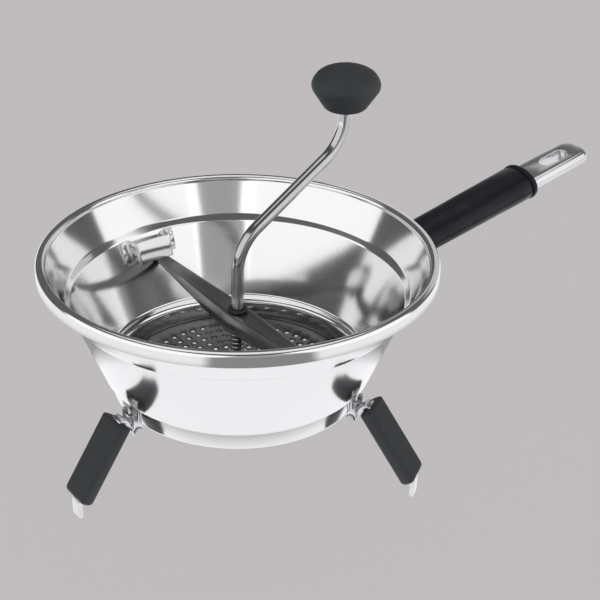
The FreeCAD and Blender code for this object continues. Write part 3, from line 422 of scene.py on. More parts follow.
def plastic(name, tint, roughness, shine):
    """Moulded plastic with fine grain and faintly polished patches."""
    known = bpy.data.materials.get(name)
    if known:
        return known
    made, tree, shader, coords = blank(name)
    shader.inputs["Specular IOR Level"].default_value = shine
    marks = placed(tree, handling_marks(), Vector=coords, Scale=45.0).outputs["Marks"]
    grain = placed(tree, moulded_grain(), Vector=coords).outputs["Grain"]
    smooth, coarse = roughness
    tree.links.new(blend_value(tree, marks, coarse, smooth), shader.inputs["Roughness"])
    worn = [channel * 1.35 + 0.002 for channel in tint]
    tree.links.new(blend_colour(tree, marks, tint, worn), shader.inputs["Base Color"])
    bump = add(tree, "ShaderNodeBump", Strength=0.2, Distance=0.0001, Height=grain)
    tree.links.new(bump.outputs["Normal"], shader.inputs["Normal"])
    return made


def finishes(context):
    """The finishes of the mill, made once and shared by its pieces."""
    tints = context.scene.mill_colours
    return {
        "polished": steel("polished_steel", tints.polished, (0.035, 0.06), 0.000001, density=3000.0,
                          marks_scale=14.0),
        "rod": steel("bright_rod", tints.rod, (0.10, 0.18), 0.000002, stretch=(900, 900, 120)),
        "hardware": steel("bright_hardware", tints.bright, (0.12, 0.24), 0.000006, stretch=(700, 700, 700)),
        "sheet": steel("satin_sheet", tints.satin, (0.24, 0.36), 0.00001, stretch=(2500, 60, 2500)),
        "keeper": steel("keeper_sheet", tints.bright, (0.08, 0.14), 0.000002, stretch=(60, 900, 2500)),
        "bar": steel("satin_bar", tints.bright, (0.18, 0.26), 0.000002, stretch=(60, 2500, 2500)),
        "sieve": steel("sieve_steel", tints.sieve, (0.22, 0.36), 0.00001, stretch=(900, 900, 900)),
        "wire": steel("spring_wire", tints.wire, (0.16, 0.28), 0.000006, stretch=(900, 900, 900)),
        "black": plastic("black_plastic", tints.black, (0.34, 0.46), 0.26),
        "grip": plastic("black_grip", tints.black, (0.31, 0.43), 0.22),
        "nylon": plastic("white_nylon", tints.nylon, (0.35, 0.45), 0.4),
    }


# Operators


class MILL_OT_bowl(Operator):
    """Spins the bowl's sheet with its rolled rim, collar, ledge, cone and outlet band"""

    bl_idname = "mill.bowl"
    bl_label = "Bowl"

    def execute(self, context):
        sizes = context.scene.mill_sizes
        edge = mm(sizes.rim_radius)
        top = mm(sizes.rim_height)
        gauge = 0.9
        inside = [
            (edge - 6.0, top, 2.6), (edge - 6.0, top - 3.2, 0.5), (105.7, 66.7, 0.7), (102.6, 63.5, 0.7),
            (83.9, 14.9, 1.2), (78.6, 13.3, 3.2), (78.6, gauge, 0.8), (73.5, gauge, 0.4),
        ]
        outside = [
            (73.5, 0.0, 0.4), (79.5, 0.0, 1.4), (79.5, 12.4, 2.4), (84.8, 14.0, 2.0), (103.7, 62.6, 0.7),
            (106.8, 65.8, 0.7), (116.9, 87.0, 0.6), (116.9, top - gauge, 1.5),
            (edge - gauge, top - gauge, 1.6), (edge - gauge, 82.0, 0.4), (edge, 82.0, 0.4), (edge, top, 2.6),
        ]
        bm = lathe(inside + outside, ROUND_STEPS, segments=6)
        piece("bowl", bm, "root", "polished_steel", finishes(context)["polished"], "bowl_shell", sharp=50)
        return {"FINISHED"}


class MILL_OT_sieve(Operator):
    """Presses the sieve disc: rings of holes with raised lips and a turned-up edge"""

    bl_idname = "mill.sieve"
    bl_label = "Sieve disc"

    def execute(self, context):
        sizes = context.scene.mill_sizes
        level, gauge, pilot = 1.75, 0.8, 3.2
        flat_edge, curl, wall = 76.2, 77.0, 77.5
        hole = mm(sizes.hole_radius)
        rise = mm(sizes.lip_rise)
        foot = hole + 0.9
        sides = 10
        bm = bmesh.new()
        for ring, radius in enumerate(range(14, 64, 7)):
            count = round(TURN * radius / mm(sizes.hole_pitch))
            start = Matrix.Rotation(TURN * ring / 2 / count, 4, "Z") @ Matrix.Translation((radius, 0, level))
            before = set(bm.verts)
            base = circle(bm, foot, sides, start)
            push(bm, base, (0, 0, rise), (hole / foot, hole / foot, 1), start.translation)
            cell = [vert for vert in bm.verts if vert not in before]
            geom = cell + loop_edges(cell) + unique(face for vert in cell for face in vert.link_faces)
            bmesh.ops.spin(bm, geom=geom, cent=(0, 0, 0), axis=Z_AXIS, angle=TURN * (count - 1) / count,
                           steps=count - 1, use_duplicate=True)
        circle(bm, pilot, 24, Matrix.Translation((0, 0, level)))
        rim = circle(bm, flat_edge, 128, Matrix.Translation((0, 0, level)))
        flat = [edge for edge in bm.edges if len(edge.link_faces) < 2
                and all(vert.co.z < level + rise / 2 for vert in edge.verts)]
        bmesh.ops.triangle_fill(bm, use_beauty=True, edges=flat, normal=Z_AXIS)
        out = curl / flat_edge
        rim = push(bm, rim, (0, 0, 0.2), (out, out, 1))
        out = wall / curl
        rim = push(bm, rim, (0, 0, 0.6), (out, out, 1))
        push(bm, rim, (0, 0, 0.75))
        sheet_up(bm, gauge)
        piece("sieve_plate", bm, "root", "satin_steel", finishes(context)["sieve"], "sieve_disc")
        return {"FINISHED"}


class MILL_OT_crossbar(Operator):
    """Folds the crossbar: a tapered channel with upturned ends and a hole for its bush"""

    bl_idname = "mill.crossbar"
    bl_label = "Crossbar"

    def execute(self, context):
        gauge = mm(context.scene.mill_sizes.sheet_gauge)
        top = 49.0
        reach = 93.2 - gauge
        wide, narrow, hole = 8.0, 3.5, 5.2
        middle_depth, end_depth, lip = 13.0, 4.0, 5.0
        fold_round, edge_round = 1.0, 0.25
        bm = bmesh.new()
        outline = wire(bm, [(narrow, -reach, top), (wide, 0, top), (narrow, reach, top),
                            (-narrow, reach, top), (-wide, 0, top), (-narrow, -reach, top)])
        circle(bm, hole, 32, Matrix.Translation((0, 0, top)))
        bmesh.ops.triangle_fill(bm, use_beauty=True, edges=bm.edges[:], normal=Z_AXIS)
        folds = []
        for side in (outline[:3], outline[3:]):
            folds += loop_edges(side)
            fresh = push(bm, side, (0, 0, 0))
            for vert in fresh:
                vert.co.z -= end_depth if abs(vert.co.y) > 1 else middle_depth
        for end in ((outline[2], outline[3]), (outline[5], outline[0])):
            folds += loop_edges(end)
            push(bm, list(end), (0, 0, lip))
        soften(bm, folds, fold_round)
        sheet_up(bm, gauge)
        soften(bm, sharp_edges(bm), edge_round, 2)
        looks = finishes(context)
        piece("crossbar_channel", bm, "root", "satin_steel", looks["sheet"], "crossbar")
        bush = [(3.95, 46.5, 0.2), (5.15, 46.5, 0.3), (5.15, 49.02, 0), (6.1, 49.02, 0.3), (6.1, 50.6, 0.8),
                (3.95, 50.6, 0.4)]
        piece("crossbar_bearing", lathe(bush, SMALL_STEPS), "root", "black_plastic", looks["black"],
              "crossbar_bush")
        return {"FINISHED"}


class MILL_OT_keepers(Operator):
    """Bends the two keepers that hold the crossbar's ends down"""

    bl_idname = "mill.keepers"
    bl_label = "Keepers"

    def execute(self, context):
        gauge = mm(context.scene.mill_sizes.sheet_gauge)
        low, height = 49.4, 14.0
        wall_foot, wall_slope = (83.9, 14.9), 0.3913
        low_wall = wall_foot[0] + wall_slope * (low - wall_foot[1])
        spread = 1 + wall_slope * height / low_wall
        tab, strap = gauge + 0.1, gauge + 8.5
        lead, fold, last = -8.0, 3.4, 24.0
        fold_round, edge_round = 1.5, 0.3
        strap_steps = 12
        across = last - 2 * fold
        turns = [(0.0, tab), (fold / 2, tab), (fold, tab)]
        turns += [(fold + across * step / strap_steps, strap) for step in range(strap_steps + 1)]
        turns += [(last - fold, tab), (last - fold / 2, tab), (last, tab)]
        folds = {2, 3, 3 + strap_steps, 4 + strap_steps}
        for tag, bearing in KEEPERS.items():
            bm = bmesh.new()
            points = [Matrix.Rotation(math.radians(bearing + lead + turned), 3, "Z")
                      @ Vector((low_wall - inward, 0, low)) for turned, inward in turns]
            verts = wire(bm, points, closed=False)
            reaches = [fold_round if place in folds else 0 for place in range(len(verts))]
            round_corners(bm, verts, reaches, 4)
            push(bm, bm.verts[:], (0, 0, height), (spread, spread, 1))
            sheet_up(bm, gauge)
            bmesh.ops.recalc_face_normals(bm, faces=bm.faces)
            soften(bm, sharp_edges(bm), edge_round, 2)
            piece(f"keeper_strap_{tag}", bm, "root", "satin_steel", finishes(context)["keeper"],
                  f"keeper_{tag}")
        return {"FINISHED"}


class MILL_OT_crank(Operator):
    """Bends the crank rod, from its spindle in the hub to its pin in the knob"""

    bl_idname = "mill.crank"
    bl_label = "Crank rod"

    def execute(self, context):
        sizes = context.scene.mill_sizes
        radius = mm(sizes.rod_radius)
        bend = mm(sizes.bend_radius)
        low, high = Vector((0, 0, 92.9)), Vector((79.0, 0, 144.1))
        slant = (high - low).normalized()
        lean = Z_AXIS.angle(slant)
        tangent = bend * math.tan(lean / 2)
        spindle, spindle_length, tip = 2.8, 47.2, -1.5
        pin, pin_foot, pin_length = 3.6, 162.2, 25.4
        chamfer, shoulder = 0.6, 0.4
        shaft_foot = tip + chamfer + spindle_length + shoulder
        bend_steps = 28
        bm = bmesh.new()
        end = circle(bm, spindle - chamfer, SMALL_STEPS, Matrix.Translation((0, 0, tip)))
        cap(bm, end)
        grow = spindle / (spindle - chamfer)
        end = push(bm, end, (0, 0, chamfer), (grow, grow, 1))
        end = push(bm, end, (0, 0, spindle_length))
        grow = (radius - shoulder) / spindle
        end = push(bm, end, (0, 0, 0), (grow, grow, 1))
        grow = radius / (radius - shoulder)
        end = push(bm, end, (0, 0, shoulder), (grow, grow, 1))
        end = push(bm, end, (0, 0, low.z - tangent - shaft_foot))
        end = turn_loop(bm, end, (bend, 0, low.z - tangent), Y_AXIS, lean, bend_steps)
        end = push(bm, end, slant * ((high - low).length - 2 * tangent))
        end = turn_loop(bm, end, (high.x - bend, 0, high.z + tangent), Y_AXIS, -lean, bend_steps)
        end = push(bm, end, (0, 0, pin_foot - high.z - tangent))
        grow = pin / radius
        end = push(bm, end, (0, 0, 0), (grow, grow, 1), (high.x, 0, 0))
        end = push(bm, end, (0, 0, pin_length))
        grow = (pin - chamfer) / pin
        end = push(bm, end, (0, 0, chamfer), (grow, grow, 1), (high.x, 0, 0))
        cap(bm, end)
        piece("crank_arm", closed_up(bm), "crank", "satin_steel", finishes(context)["rod"], "crank_rod",
              sharp=40)
        return {"FINISHED"}


class MILL_OT_spring(Operator):
    """Winds the pressure spring, with a closed turn at each end"""

    bl_idname = "mill.spring"
    bl_label = "Pressure spring"

    def execute(self, context):
        sizes = context.scene.mill_sizes
        coil = mm(sizes.coil_radius)
        wire_radius = mm(sizes.wire_radius)
        low, high = 19.6, 45.2
        closed_turns, turn_steps, wire_sides = 0.75, 32, 10
        closed_pitch = 2 * wire_radius + 0.1
        open_rise = high - low - 2 * wire_radius - 2 * closed_turns * closed_pitch
        open_pitch = open_rise / sizes.coil_turns
        start = Matrix.Translation((coil, 0, low + wire_radius)) @ Matrix.Rotation(math.pi / 2, 4, "X")
        bm = bmesh.new()
        end = circle(bm, wire_radius, wire_sides, start)
        cap(bm, end)
        for turns, pitch in ((closed_turns, closed_pitch), (sizes.coil_turns, open_pitch),
                             (closed_turns, closed_pitch)):
            steps = round(turns * turn_steps)
            geom = list(end) + loop_edges(end)
            made = bmesh.ops.spin(bm, geom=geom, cent=(0, 0, 0), axis=Z_AXIS, angle=TURN * turns,
                                  dvec=(0, 0, pitch * turns / steps), steps=steps)
            end = new_verts(made["geom_last"])
        cap(bm, end)
        piece("pressure_coil", closed_up(bm), "crank", "spring_steel", finishes(context)["wire"],
              "pressure_spring")
        return {"FINISHED"}


class MILL_OT_knob(Operator):
    """Turns the crank's domed knob with its bore"""

    bl_idname = "mill.knob"
    bl_label = "Crank knob"

    def execute(self, context):
        widest = mm(context.scene.mill_sizes.knob_radius)
        foot, widest_level, top = 164.2, 179.1, 192.2
        bore, bore_top, crank_reach = 6.0, foot + 24.6, 79.0
        outline = [
            (bore, foot, 0.4), (11.8, foot, 3.2), (widest, widest_level, 3.0),
            (widest * 0.88, top - 6.2, 3.4), (widest * 0.58, top - 1.6, 4.2), (0.0, top, 0),
            (0.0, bore_top, 0), (bore, bore_top, 0.4),
        ]
        bm = lathe(outline, 96, (crank_reach, 0, 0), segments=8)
        piece("knob_cap", bm, "knob", "black_plastic", finishes(context)["black"], "crank_knob", sharp=50)
        return {"FINISHED"}


def handle_place(context):
    tilt = Matrix.Rotation(-context.scene.mill_sizes.handle_tilt, 4, "Y")
    return Matrix.Translation((101.0, 0, 50.1)) @ tilt


def oval_place(distance, half_width, half_height):
    """Stands a circle of radius one across the handle, stretched to an oval."""
    scale = Matrix.Diagonal((half_height, half_width, 1, 1))
    return Matrix.Translation((distance, 0, 0)) @ Matrix.Rotation(math.pi / 2, 4, "Y") @ scale


class MILL_OT_handle(Operator):
    """Shapes the handle: flat bar with a hanging slot, oval grip with a parting line, end ring"""

    bl_idname = "mill.handle"
    bl_label = "Handle"

    def execute(self, context):
        place = handle_place(context)
        looks = finishes(context)
        self.make_grip(context, place, looks)
        self.make_ring(place, looks)
        self.make_bar(place, looks)
        return {"FINISHED"}

    def make_grip(self, context, place, looks):
        start, finish = 29.7, 141.0
        slim, stout = (14.6, 10.4), (15.9, 11.7)
        ease = 1.6
        steps = 96
        bm = bmesh.new()
        end = circle(bm, 1.0, steps, oval_place(start, slim[0] - ease, slim[1] - ease))
        cap(bm, end)
        stations = [(start + ease * (1 - math.cos(part)), ease * (1 - math.sin(part)))
                    for part in (math.pi / 6, math.pi / 3, math.pi / 2)]
        stations += [(start + (finish - start) * part, 0.0) for part in (0.2, 0.4, 0.6, 0.8)]
        stations += [(finish - ease * (1 - math.cos(part)), ease * (1 - math.sin(part)))
                     for part in (math.pi / 2, math.pi / 3, math.pi / 6)]
        stations.append((finish, ease))
        here = start
        half = (slim[0] - ease, slim[1] - ease)
        seam = []
        for along, drawn_in in stations:
            part = (along - start) / (finish - start)
            goal = [near + (far - near) * part - drawn_in for near, far in zip(slim, stout)]
            end = push(bm, end, (along - here, 0, 0), (1, goal[0] / half[0], goal[1] / half[1]))
            seam += [vert for vert in end if self.on_seam(vert.co, goal)]
            here, half = along, goal
        cap(bm, end)
        deep = mm(context.scene.mill_sizes.seam_depth)
        for vert in seam:
            inward = Vector((0, -vert.co.y, -vert.co.z)).normalized()
            vert.co += inward * deep
        bmesh.ops.transform(bm, matrix=place, verts=bm.verts)
        piece("grip_sleeve", closed_up(bm), "root", "black_plastic", looks["grip"], "handle_grip", sharp=60)

    def on_seam(self, point, half):
        turned = math.atan2(point.z / half[1], abs(point.y) / half[0])
        return abs(turned) < 0.01

    def make_ring(self, place, looks):
        start = 141.05
        half = (16.4, 12.2)
        inner = (12.9, 4.7)
        bm = bmesh.new()
        end = circle(bm, 1.0, 96, oval_place(start, *inner))
        profile = [(0.0, half[0] - 1.4, half[1] - 1.4), (0.5, half[0] - 0.4, half[1] - 0.4), (1.4, *half),
                   (2.8, *half), (3.7, half[0] - 0.4, half[1] - 0.4), (4.2, half[0] - 1.4, half[1] - 1.4),
                   (4.2, *inner), (0.0, *inner)]
        here, size = 0.0, inner
        for along, wide, tall in profile:
            end = push(bm, end, (along - here, 0, 0), (1, wide / size[0], tall / size[1]))
            here, size = along, (wide, tall)
        bmesh.ops.transform(bm, matrix=place, verts=bm.verts)
        piece("grip_bead", closed_up(bm), "root", "black_plastic", looks["grip"], "grip_end_ring", sharp=50)

    def make_bar(self, place, looks):
        half, thin = 9.0, 6.0
        first, last, edge_round = 1.5, 144.0, 0.5
        bm = bmesh.new()
        bmesh.ops.create_cube(bm, size=1.0)
        bmesh.ops.scale(bm, vec=(last - first, 2 * half, thin), verts=bm.verts)
        bmesh.ops.translate(bm, vec=((first + last) / 2, 0, 0), verts=bm.verts)
        soften(bm, bm.edges[:], edge_round, 2)
        self.add_tail(bm)
        bmesh.ops.transform(bm, matrix=place, verts=bm.verts)
        piece("handle_bar", bm, "root", "satin_steel", looks["bar"], "handle_core")

    def add_tail(self, bm):
        """The wide end of the bar: rounded edges all round and a slot to hang it by."""
        start, last, half, thick = 142.5, 202.8, 12.6, 9.0
        corner, edge_round, hole_round = 9.0, 3.5, 0.6
        slot_middle, slot_half, slot_radius = 177.2, 6.0, 6.0
        before = set(bm.verts)
        outline = wire(bm, [(start, -half, 0), (last, -half, 0), (last, half, 0), (start, half, 0)])
        round_corners(bm, outline, [0, corner, corner, 0], 10)
        left, right = slot_middle - slot_half, slot_middle + slot_half
        slot = wire(bm, [(left - slot_radius, -slot_radius, 0), (right + slot_radius, -slot_radius, 0),
                         (right + slot_radius, slot_radius, 0), (left - slot_radius, slot_radius, 0)])
        round_corners(bm, slot, [slot_radius - 0.02] * 4, 10)
        fresh = [vert for vert in bm.verts if vert not in before]
        made = bmesh.ops.triangle_fill(bm, use_beauty=True, edges=loop_edges(fresh), normal=Z_AXIS)
        bmesh.ops.translate(bm, vec=(0, 0, thick / 2), verts=fresh)
        bmesh.ops.solidify(bm, geom=only(bmesh.types.BMFace, made["geom"]), thickness=thick)
        tail = [vert for vert in bm.verts if vert not in before]
        rims = [edge for edge in loop_edges(tail) if edge.calc_face_angle(0) > SHARP_TURN
                and abs(edge.verts[0].co.z - edge.verts[1].co.z) < 0.01]
        slot_reach = slot_half + slot_radius + 0.1
        hole = [edge for edge in rims if all(abs(vert.co.y) < slot_radius + 0.1
                                             and abs(vert.co.x - slot_middle) < slot_reach
                                             for vert in edge.verts)]
        outer = [edge for edge in rims if edge not in set(hole)]
        soften(bm, outer, edge_round, 6)
        soften(bm, [edge for edge in hole if edge.is_valid], hole_round, 3)


class MILL_OT_legs(Operator):
    """Builds the folding legs: strut, sleeve, hinge bracket and hinge pin of each"""

    bl_idname = "mill.legs"
    bl_label = "Legs"

    def execute(self, context):
        sizes = context.scene.mill_sizes
        looks = finishes(context)
        hinge, knee = Vector((79.0, 0, -6.5)), Vector((88.0, 0, 4.5))
        lean = sizes.leg_splay
        down = Vector((math.sin(lean), 0, -math.cos(lean)))
        for tag, bearing in LEGS.items():
            place = Matrix.Rotation(math.radians(bearing), 4, "Z")
            body = f"leg_{tag}"
            solids = {
                "cover": (self.make_sleeve(sizes, knee, down), body, "black_plastic", "black", "sleeve"),
                "strip": (self.make_strut(sizes, hinge, knee, down), body, "satin_steel", "hardware",
                          "strut"),
                "ears": (self.make_bracket(hinge), "root", "satin_steel", "hardware", "bracket"),
                "axle": (self.make_pin(hinge), "root", "satin_steel", "rod", "pin"),
            }
            for kind, (bm, rider, slot, look, node) in solids.items():
                bmesh.ops.transform(bm, matrix=place, verts=bm.verts)
                piece(f"leg_{kind}_{tag}", bm, rider, slot, looks[look], f"leg_{node}_{tag}", sharp=50)
        return {"FINISHED"}

    def make_sleeve(self, sizes, knee, down):
        first, last = 3.0, 56.5
        corner, foot_round, top_round = 3.4, 3.2, 0.9
        size = (mm(sizes.sleeve_thickness), mm(sizes.sleeve_width), last - first)
        outward = Vector((-down.z, 0, down.x))
        along = Matrix((outward, Y_AXIS, down)).transposed().to_4x4()
        bm = bmesh.new()
        bmesh.ops.create_cube(bm, size=1.0)
        bmesh.ops.scale(bm, vec=size, verts=bm.verts)
        bmesh.ops.translate(bm, vec=(0, 0, (first + last) / 2), verts=bm.verts)
        upright = [edge for edge in bm.edges if abs(edge.verts[0].co.z - edge.verts[1].co.z) > 1.0]
        soften(bm, upright, corner, 6)
        for level, width in ((last, foot_round), (first, top_round)):
            rim = [edge for edge in bm.edges if all(abs(vert.co.z - level) < 0.01 for vert in edge.verts)]
            soften(bm, rim, width, 4)
        bmesh.ops.transform(bm, matrix=Matrix.Translation(knee) @ along, verts=bm.verts)
        bmesh.ops.recalc_face_normals(bm, faces=bm.faces)
        return bm

    def make_strut(self, sizes, hinge, knee, down):
        """One bent strip: upright toe, straight shank, arm back to the eye round the pin."""
        half, thin = mm(sizes.strut_width) / 2, mm(sizes.strut_thickness) / 2
        foot_level, shank = mm(FLOOR_LEVEL), 57.5
        toe_bend, knee_bend, edge_round = 3.0, 2.6, 0.6
        toe = knee + down * shank
        back = (hinge - knee).normalized()
        lean = Z_AXIS.angle(-down)
        fold = back.angle(-down)
        toe_ease = toe_bend * math.tan(lean / 2)
        knee_ease = knee_bend * math.tan(fold / 2)
        bm = bmesh.new()
        section = ((-thin, -half), (thin, -half), (thin, half), (-thin, half))
        end = wire(bm, [(toe.x + x, y, foot_level) for x, y in section])
        round_corners(bm, end, [edge_round] * 4, 3)
        end = bm.verts[:]
        cap(bm, end)
        end = push(bm, end, (0, 0, toe.z - toe_ease - foot_level))
        end = turn_loop(bm, end, (toe.x - toe_bend, 0, toe.z - toe_ease), Y_AXIS, -lean, 6)
        end = push(bm, end, -down * (shank - toe_ease - knee_ease))
        inward = Vector((down.z, 0, -down.x))
        end = turn_loop(bm, end, knee + down * knee_ease + inward * knee_bend, Y_AXIS, -fold, 12)
        bore, eye, wall = 2.05, 3.4, 2.6
        end = push(bm, end, back * ((hinge - knee).length - knee_ease - wall))
        cap(bm, end)
        closed_up(bm)
        outline = [(bore, -half, 0.1), (eye, -half, 0.5), (eye, half, 0.5), (bore, half, 0.1)]
        ring = lathe(outline, 40, segments=3)
        return joined(bm, ring, Matrix.Translation(hinge) @ Matrix.Rotation(math.pi / 2, 4, "X"))

    def make_bracket(self, hinge):
        """Welded plate on the outlet band with two ears that hang below its edge."""
        plate, gauge, eye = 80.9, 1.3, 3.4
        low, tall, sweep, steps = 1.0, 11.4, 13.0, 8
        edge_round = 0.3
        bm = bmesh.new()
        turns = [math.radians(sweep * (step / steps - 0.5)) for step in range(steps + 1)]
        points = [(plate * math.cos(turn), plate * math.sin(turn), low) for turn in turns]
        push(bm, wire(bm, points, closed=False), (0, 0, tall))
        bmesh.ops.recalc_face_normals(bm, faces=bm.faces)
        bm.normal_update()
        if sum(face.normal.x for face in bm.faces) < 0:
            bmesh.ops.reverse_faces(bm, faces=bm.faces)
        bmesh.ops.solidify(bm, geom=bm.faces[:], thickness=gauge)
        soften(bm, sharp_edges(bm), edge_round, 2)
        closed_up(bm)
        wall, ear_gauge, ear_gap, band_foot, ear_top = 79.6, 1.6, 4.8, -0.1, 5.5
        for side in (-1, 1):
            ear = bmesh.new()
            near = ear_gap if side > 0 else -ear_gap - ear_gauge
            curve = [math.radians(-180 * step / 16) for step in range(17)]
            points = [(wall, near, ear_top), (hinge.x + eye, near, ear_top)]
            points += [(hinge.x + eye * math.cos(turn), near, hinge.z + eye * math.sin(turn))
                       for turn in curve]
            points += [(hinge.x - eye, near, band_foot), (wall, near, band_foot)]
            loop = wire(ear, points)
            cap(ear, loop)
            cap(ear, push(ear, loop, (0, ear_gauge, 0)))
            closed_up(ear)
            soften(ear, sharp_edges(ear), edge_round, 2)
            joined(bm, ear, Matrix())
        return bm

    def make_pin(self, hinge):
        shaft, head, seat, tip = 2.0, 3.2, 6.45, 7.65
        outline = [(0.0, -tip, 0), (head, -tip, 0.8), (head, -seat, 0.1), (shaft, -seat, 0),
                   (shaft, seat, 0), (head, seat, 0.1), (head, tip, 0.8), (0.0, tip, 0)]
        bm = lathe(outline, 40, segments=4)
        bmesh.ops.transform(bm, matrix=Matrix.Translation(hinge) @ Matrix.Rotation(math.pi / 2, 4, "X"),
                            verts=bm.verts)
        return bm


class MILL_OT_fittings(Operator):
    """Gives each remaining fitting of the frame its finish"""

    bl_idname = "mill.fittings"
    bl_label = "Fittings"

    def execute(self, context):
        looks = finishes(context)
        kinds = {
            "nylon": ["knob_bush"],
            "keeper": ["keeper_rivets"],
            "sheet": ["scraper_blade", "handle_bracket"],
            "hardware": ["drive_hub", "hub_pin", "spring_washer_upper", "spring_washer_lower",
                         "knob_push_nut", "knob_washer", "handle_rivets"],
        }
        for look, nodes in kinds.items():
            for node in nodes:
                finish_node(node, looks[look])
        return {"FINISHED"}


class MILL_OT_stage(Operator):
    """Sets the floor, plain to the camera but glowing with painted light for reflections, the soft studio
    lights and the camera
    """

    bl_idname = "mill.stage"
    bl_label = "Stage"

    def execute(self, context):
        scene = context.scene
        scene.view_settings.view_transform = "Standard"
        self.make_floor(scene)
        self.make_world(scene)
        self.make_lights(scene)
        self.make_camera(scene)
        return {"FINISHED"}

    def make_floor(self, scene):
        bm = bmesh.new()
        bmesh.ops.create_grid(bm, x_segments=1, y_segments=1, size=6.0)
        bmesh.ops.translate(bm, vec=(0, 0, FLOOR_LEVEL), verts=bm.verts)
        mesh = bpy.data.meshes.new("floor")
        bm.to_mesh(mesh)
        bm.free()
        floor = bpy.data.objects.new("floor", mesh)
        scene.collection.objects.link(floor)
        made = bpy.data.materials.new("floor_paper")
        made.use_nodes = True
        tree = made.node_tree
        tree.nodes.clear()
        tint = (*scene.mill_colours.floor, 1)
        path = add(tree, "ShaderNodeLightPath")
        paper = add(tree, "ShaderNodeBsdfDiffuse", Color=tint)
        glow = add(tree, "ShaderNodeEmission", Color=tint, Strength=1.03)
        seen = add(tree, "ShaderNodeMixShader", Fac=0.05, _1=glow.outputs[0], _2=paper.outputs[0])
        # Rays other than the camera's see the floor glow with painted light, though it is no lamp. That
        # light is a bright pool right under the mill, a dimmer band, a brighter ring further out, and a
        # painted shadow wedge on the side toward the camera. The camera itself sees only the plain grey.
        place = add(tree, "ShaderNodeTexCoord").outputs["Object"]
        flat = add(tree, "ShaderNodeVectorMath", {"operation": "MULTIPLY"}, _0=place,
                   _1=(1, 1, 0)).outputs[0]
        away = add(tree, "ShaderNodeVectorMath", {"operation": "LENGTH"}, _0=flat).outputs["Value"]
        toward = add(tree, "ShaderNodeVectorMath", {"operation": "NORMALIZE"}, _0=flat).outputs[0]
        gap = math.radians(VIEW_TURN + VIEW_GAP)
        facing = add(tree, "ShaderNodeVectorMath", {"operation": "DOT_PRODUCT"}, _0=toward,
                     _1=(math.sin(gap), -math.cos(gap), 0)).outputs["Value"]
        painted_shadow_wedge = self.eased(tree, facing, (0.89, 0.93), (1.0, 0.2))
        painted_pool_under = self.eased(tree, away, (0.138, 0.160), (1.1, 0.3))
        painted_outer_glow = self.eased(tree, away, (0.22, 0.33), (0.36, 1.05))
        ring = add(tree, "ShaderNodeMath", {"operation": "MULTIPLY"}, _0=painted_outer_glow, _1=painted_shadow_wedge)
        spread = add(tree, "ShaderNodeMath", {"operation": "MAXIMUM"}, _0=painted_pool_under, _1=ring.outputs[0])
        # Painted reflection glow: the floor's emission seen by reflected rays, strength set by the painted
        # pool, ring and shadow wedge.
        painted_reflection_glow = add(tree, "ShaderNodeEmission", Color=(0.96, 0.96, 0.98, 1), Strength=spread.outputs[0])
        both = add(tree, "ShaderNodeMixShader", Fac=path.outputs["Is Camera Ray"], _1=painted_reflection_glow.outputs[0],
                   _2=seen.outputs[0])
        add(tree, "ShaderNodeOutputMaterial", Surface=both.outputs[0])
        mesh.materials.append(made)

    def eased(self, tree, value, span, strengths):
        """Strength that goes from the first value to the second over a span."""
        made = add(tree, "ShaderNodeMapRange", Value=value, From_Min=span[0], From_Max=span[1],
                   To_Min=strengths[0], To_Max=strengths[1])
        return made.outputs["Result"]

    def make_world(self, scene):
        world = bpy.data.worlds.new("studio")
        scene.world = world
        world.use_nodes = True
        tree = world.node_tree
        tree.nodes.clear()
        path = add(tree, "ShaderNodeLightPath")
        seen = add(tree, "ShaderNodeBackground", Color=(*scene.mill_colours.floor, 1), Strength=1.01)
        room = add(tree, "ShaderNodeBackground", Color=(0.12, 0.12, 0.125, 1), Strength=1.0)
        both = add(tree, "ShaderNodeMixShader", Fac=path.outputs["Is Camera Ray"], _1=room.outputs[0],
                   _2=seen.outputs[0])
        add(tree, "ShaderNodeOutputWorld", Surface=both.outputs[0])

    def make_lights(self, scene):
        boxes = [
            ("soft_box_left", -54.0, 20.0, 1.7, (3.4, 2.0), 1.05),
            ("soft_box_right", 66.0, 20.0, 1.7, (2.3, 2.0), 1.05),
            ("soft_box_front", 11.0, 20.0, 1.9, (1.4, 1.4), 0.28),
            ("soft_box_back", 150.0, 16.0, 2.0, (1.6, 1.2), 0.5),
            ("soft_box_top", 180.0, 80.0, 1.6, (1.5, 1.5), 0.85),
        ]
        for name, turned, lift, distance, size, glow in boxes:
            lamp = bpy.data.lights.new(name, "AREA")
            lamp.shape = "RECTANGLE"
            lamp.size, lamp.size_y = size
            lamp.energy = glow * math.pi * size[0] * size[1]
            lamp.color = scene.mill_colours.sweep
            made = bpy.data.objects.new(name, lamp)
            scene.collection.objects.link(made)
            bearing = math.radians(VIEW_TURN + turned)
            rise = math.radians(lift)
            level = math.cos(rise)
            aim = Vector((math.sin(bearing) * level, -math.cos(bearing) * level, math.sin(rise)))
            made.location = aim * distance
            made.rotation_euler = aim.to_track_quat("Z", "Y").to_euler()

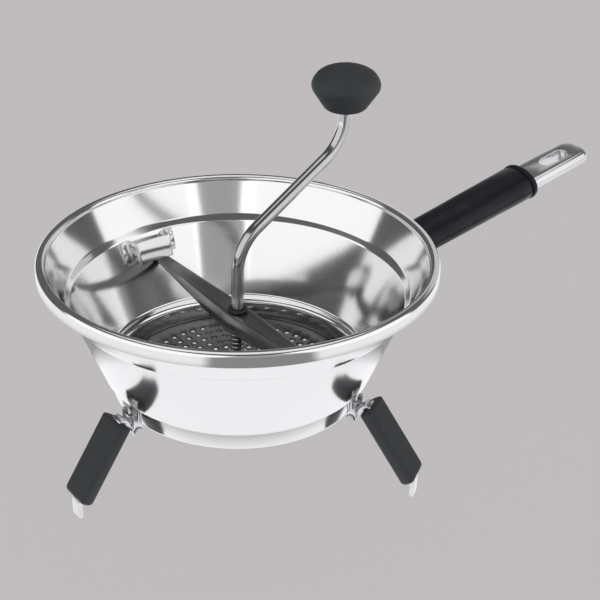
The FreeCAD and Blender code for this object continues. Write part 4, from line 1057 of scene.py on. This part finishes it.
    def make_camera(self, scene):
        lens = bpy.data.cameras.new("photo_view")
        lens.sensor_width = 36.0
        lens.lens = 72.0
        lens.shift_x = 0.104
        camera = bpy.data.objects.new("photo_view", lens)
        scene.collection.objects.link(camera)
        camera.location = (-0.3650, -0.5412, 0.4126)
        turned = math.radians(VIEW_TURN)
        dip = math.radians(VIEW_DIP)
        level = math.cos(dip)
        forward = Vector((-math.sin(turned) * level, math.cos(turned) * level, -math.sin(dip)))
        camera.rotation_euler = forward.to_track_quat("-Z", "Y").to_euler()
        scene.camera = camera


class MILL_PT_panel(Panel):
    """Lists the pieces of the mill"""

    bl_idname = "MILL_PT_panel"
    bl_label = "Food Mill"
    bl_space_type = "VIEW_3D"
    bl_region_type = "UI"
    bl_category = "Food Mill"

    def draw(self, context):
        for operator in OPERATORS:
            self.layout.operator(operator.bl_idname)
        for group in (context.scene.mill_sizes, context.scene.mill_colours):
            column = self.layout.column()
            for name in group.__annotations__:
                column.prop(group, name)


OPERATORS = (
    MILL_OT_bowl, MILL_OT_sieve, MILL_OT_crossbar, MILL_OT_keepers, MILL_OT_crank, MILL_OT_spring,
    MILL_OT_knob, MILL_OT_handle, MILL_OT_legs, MILL_OT_fittings, MILL_OT_stage,
)
CLASSES = (MillSizes, MillColours, *OPERATORS, MILL_PT_panel)


def register():
    for item in CLASSES:
        bpy.utils.register_class(item)
    bpy.types.Scene.mill_sizes = PointerProperty(type=MillSizes)
    bpy.types.Scene.mill_colours = PointerProperty(type=MillColours)


def unregister():
    del bpy.types.Scene.mill_colours
    del bpy.types.Scene.mill_sizes
    for item in reversed(CLASSES):
        bpy.utils.unregister_class(item)


def main():
    register()
    bpy.ops.mill.bowl()
    bpy.ops.mill.sieve()
    bpy.ops.mill.crossbar()
    bpy.ops.mill.keepers()
    bpy.ops.mill.crank()
    bpy.ops.mill.spring()
    bpy.ops.mill.knob()
    bpy.ops.mill.handle()
    bpy.ops.mill.legs()
    bpy.ops.mill.fittings()
    bpy.ops.mill.stage()


if __name__ == "__main__":
    main()
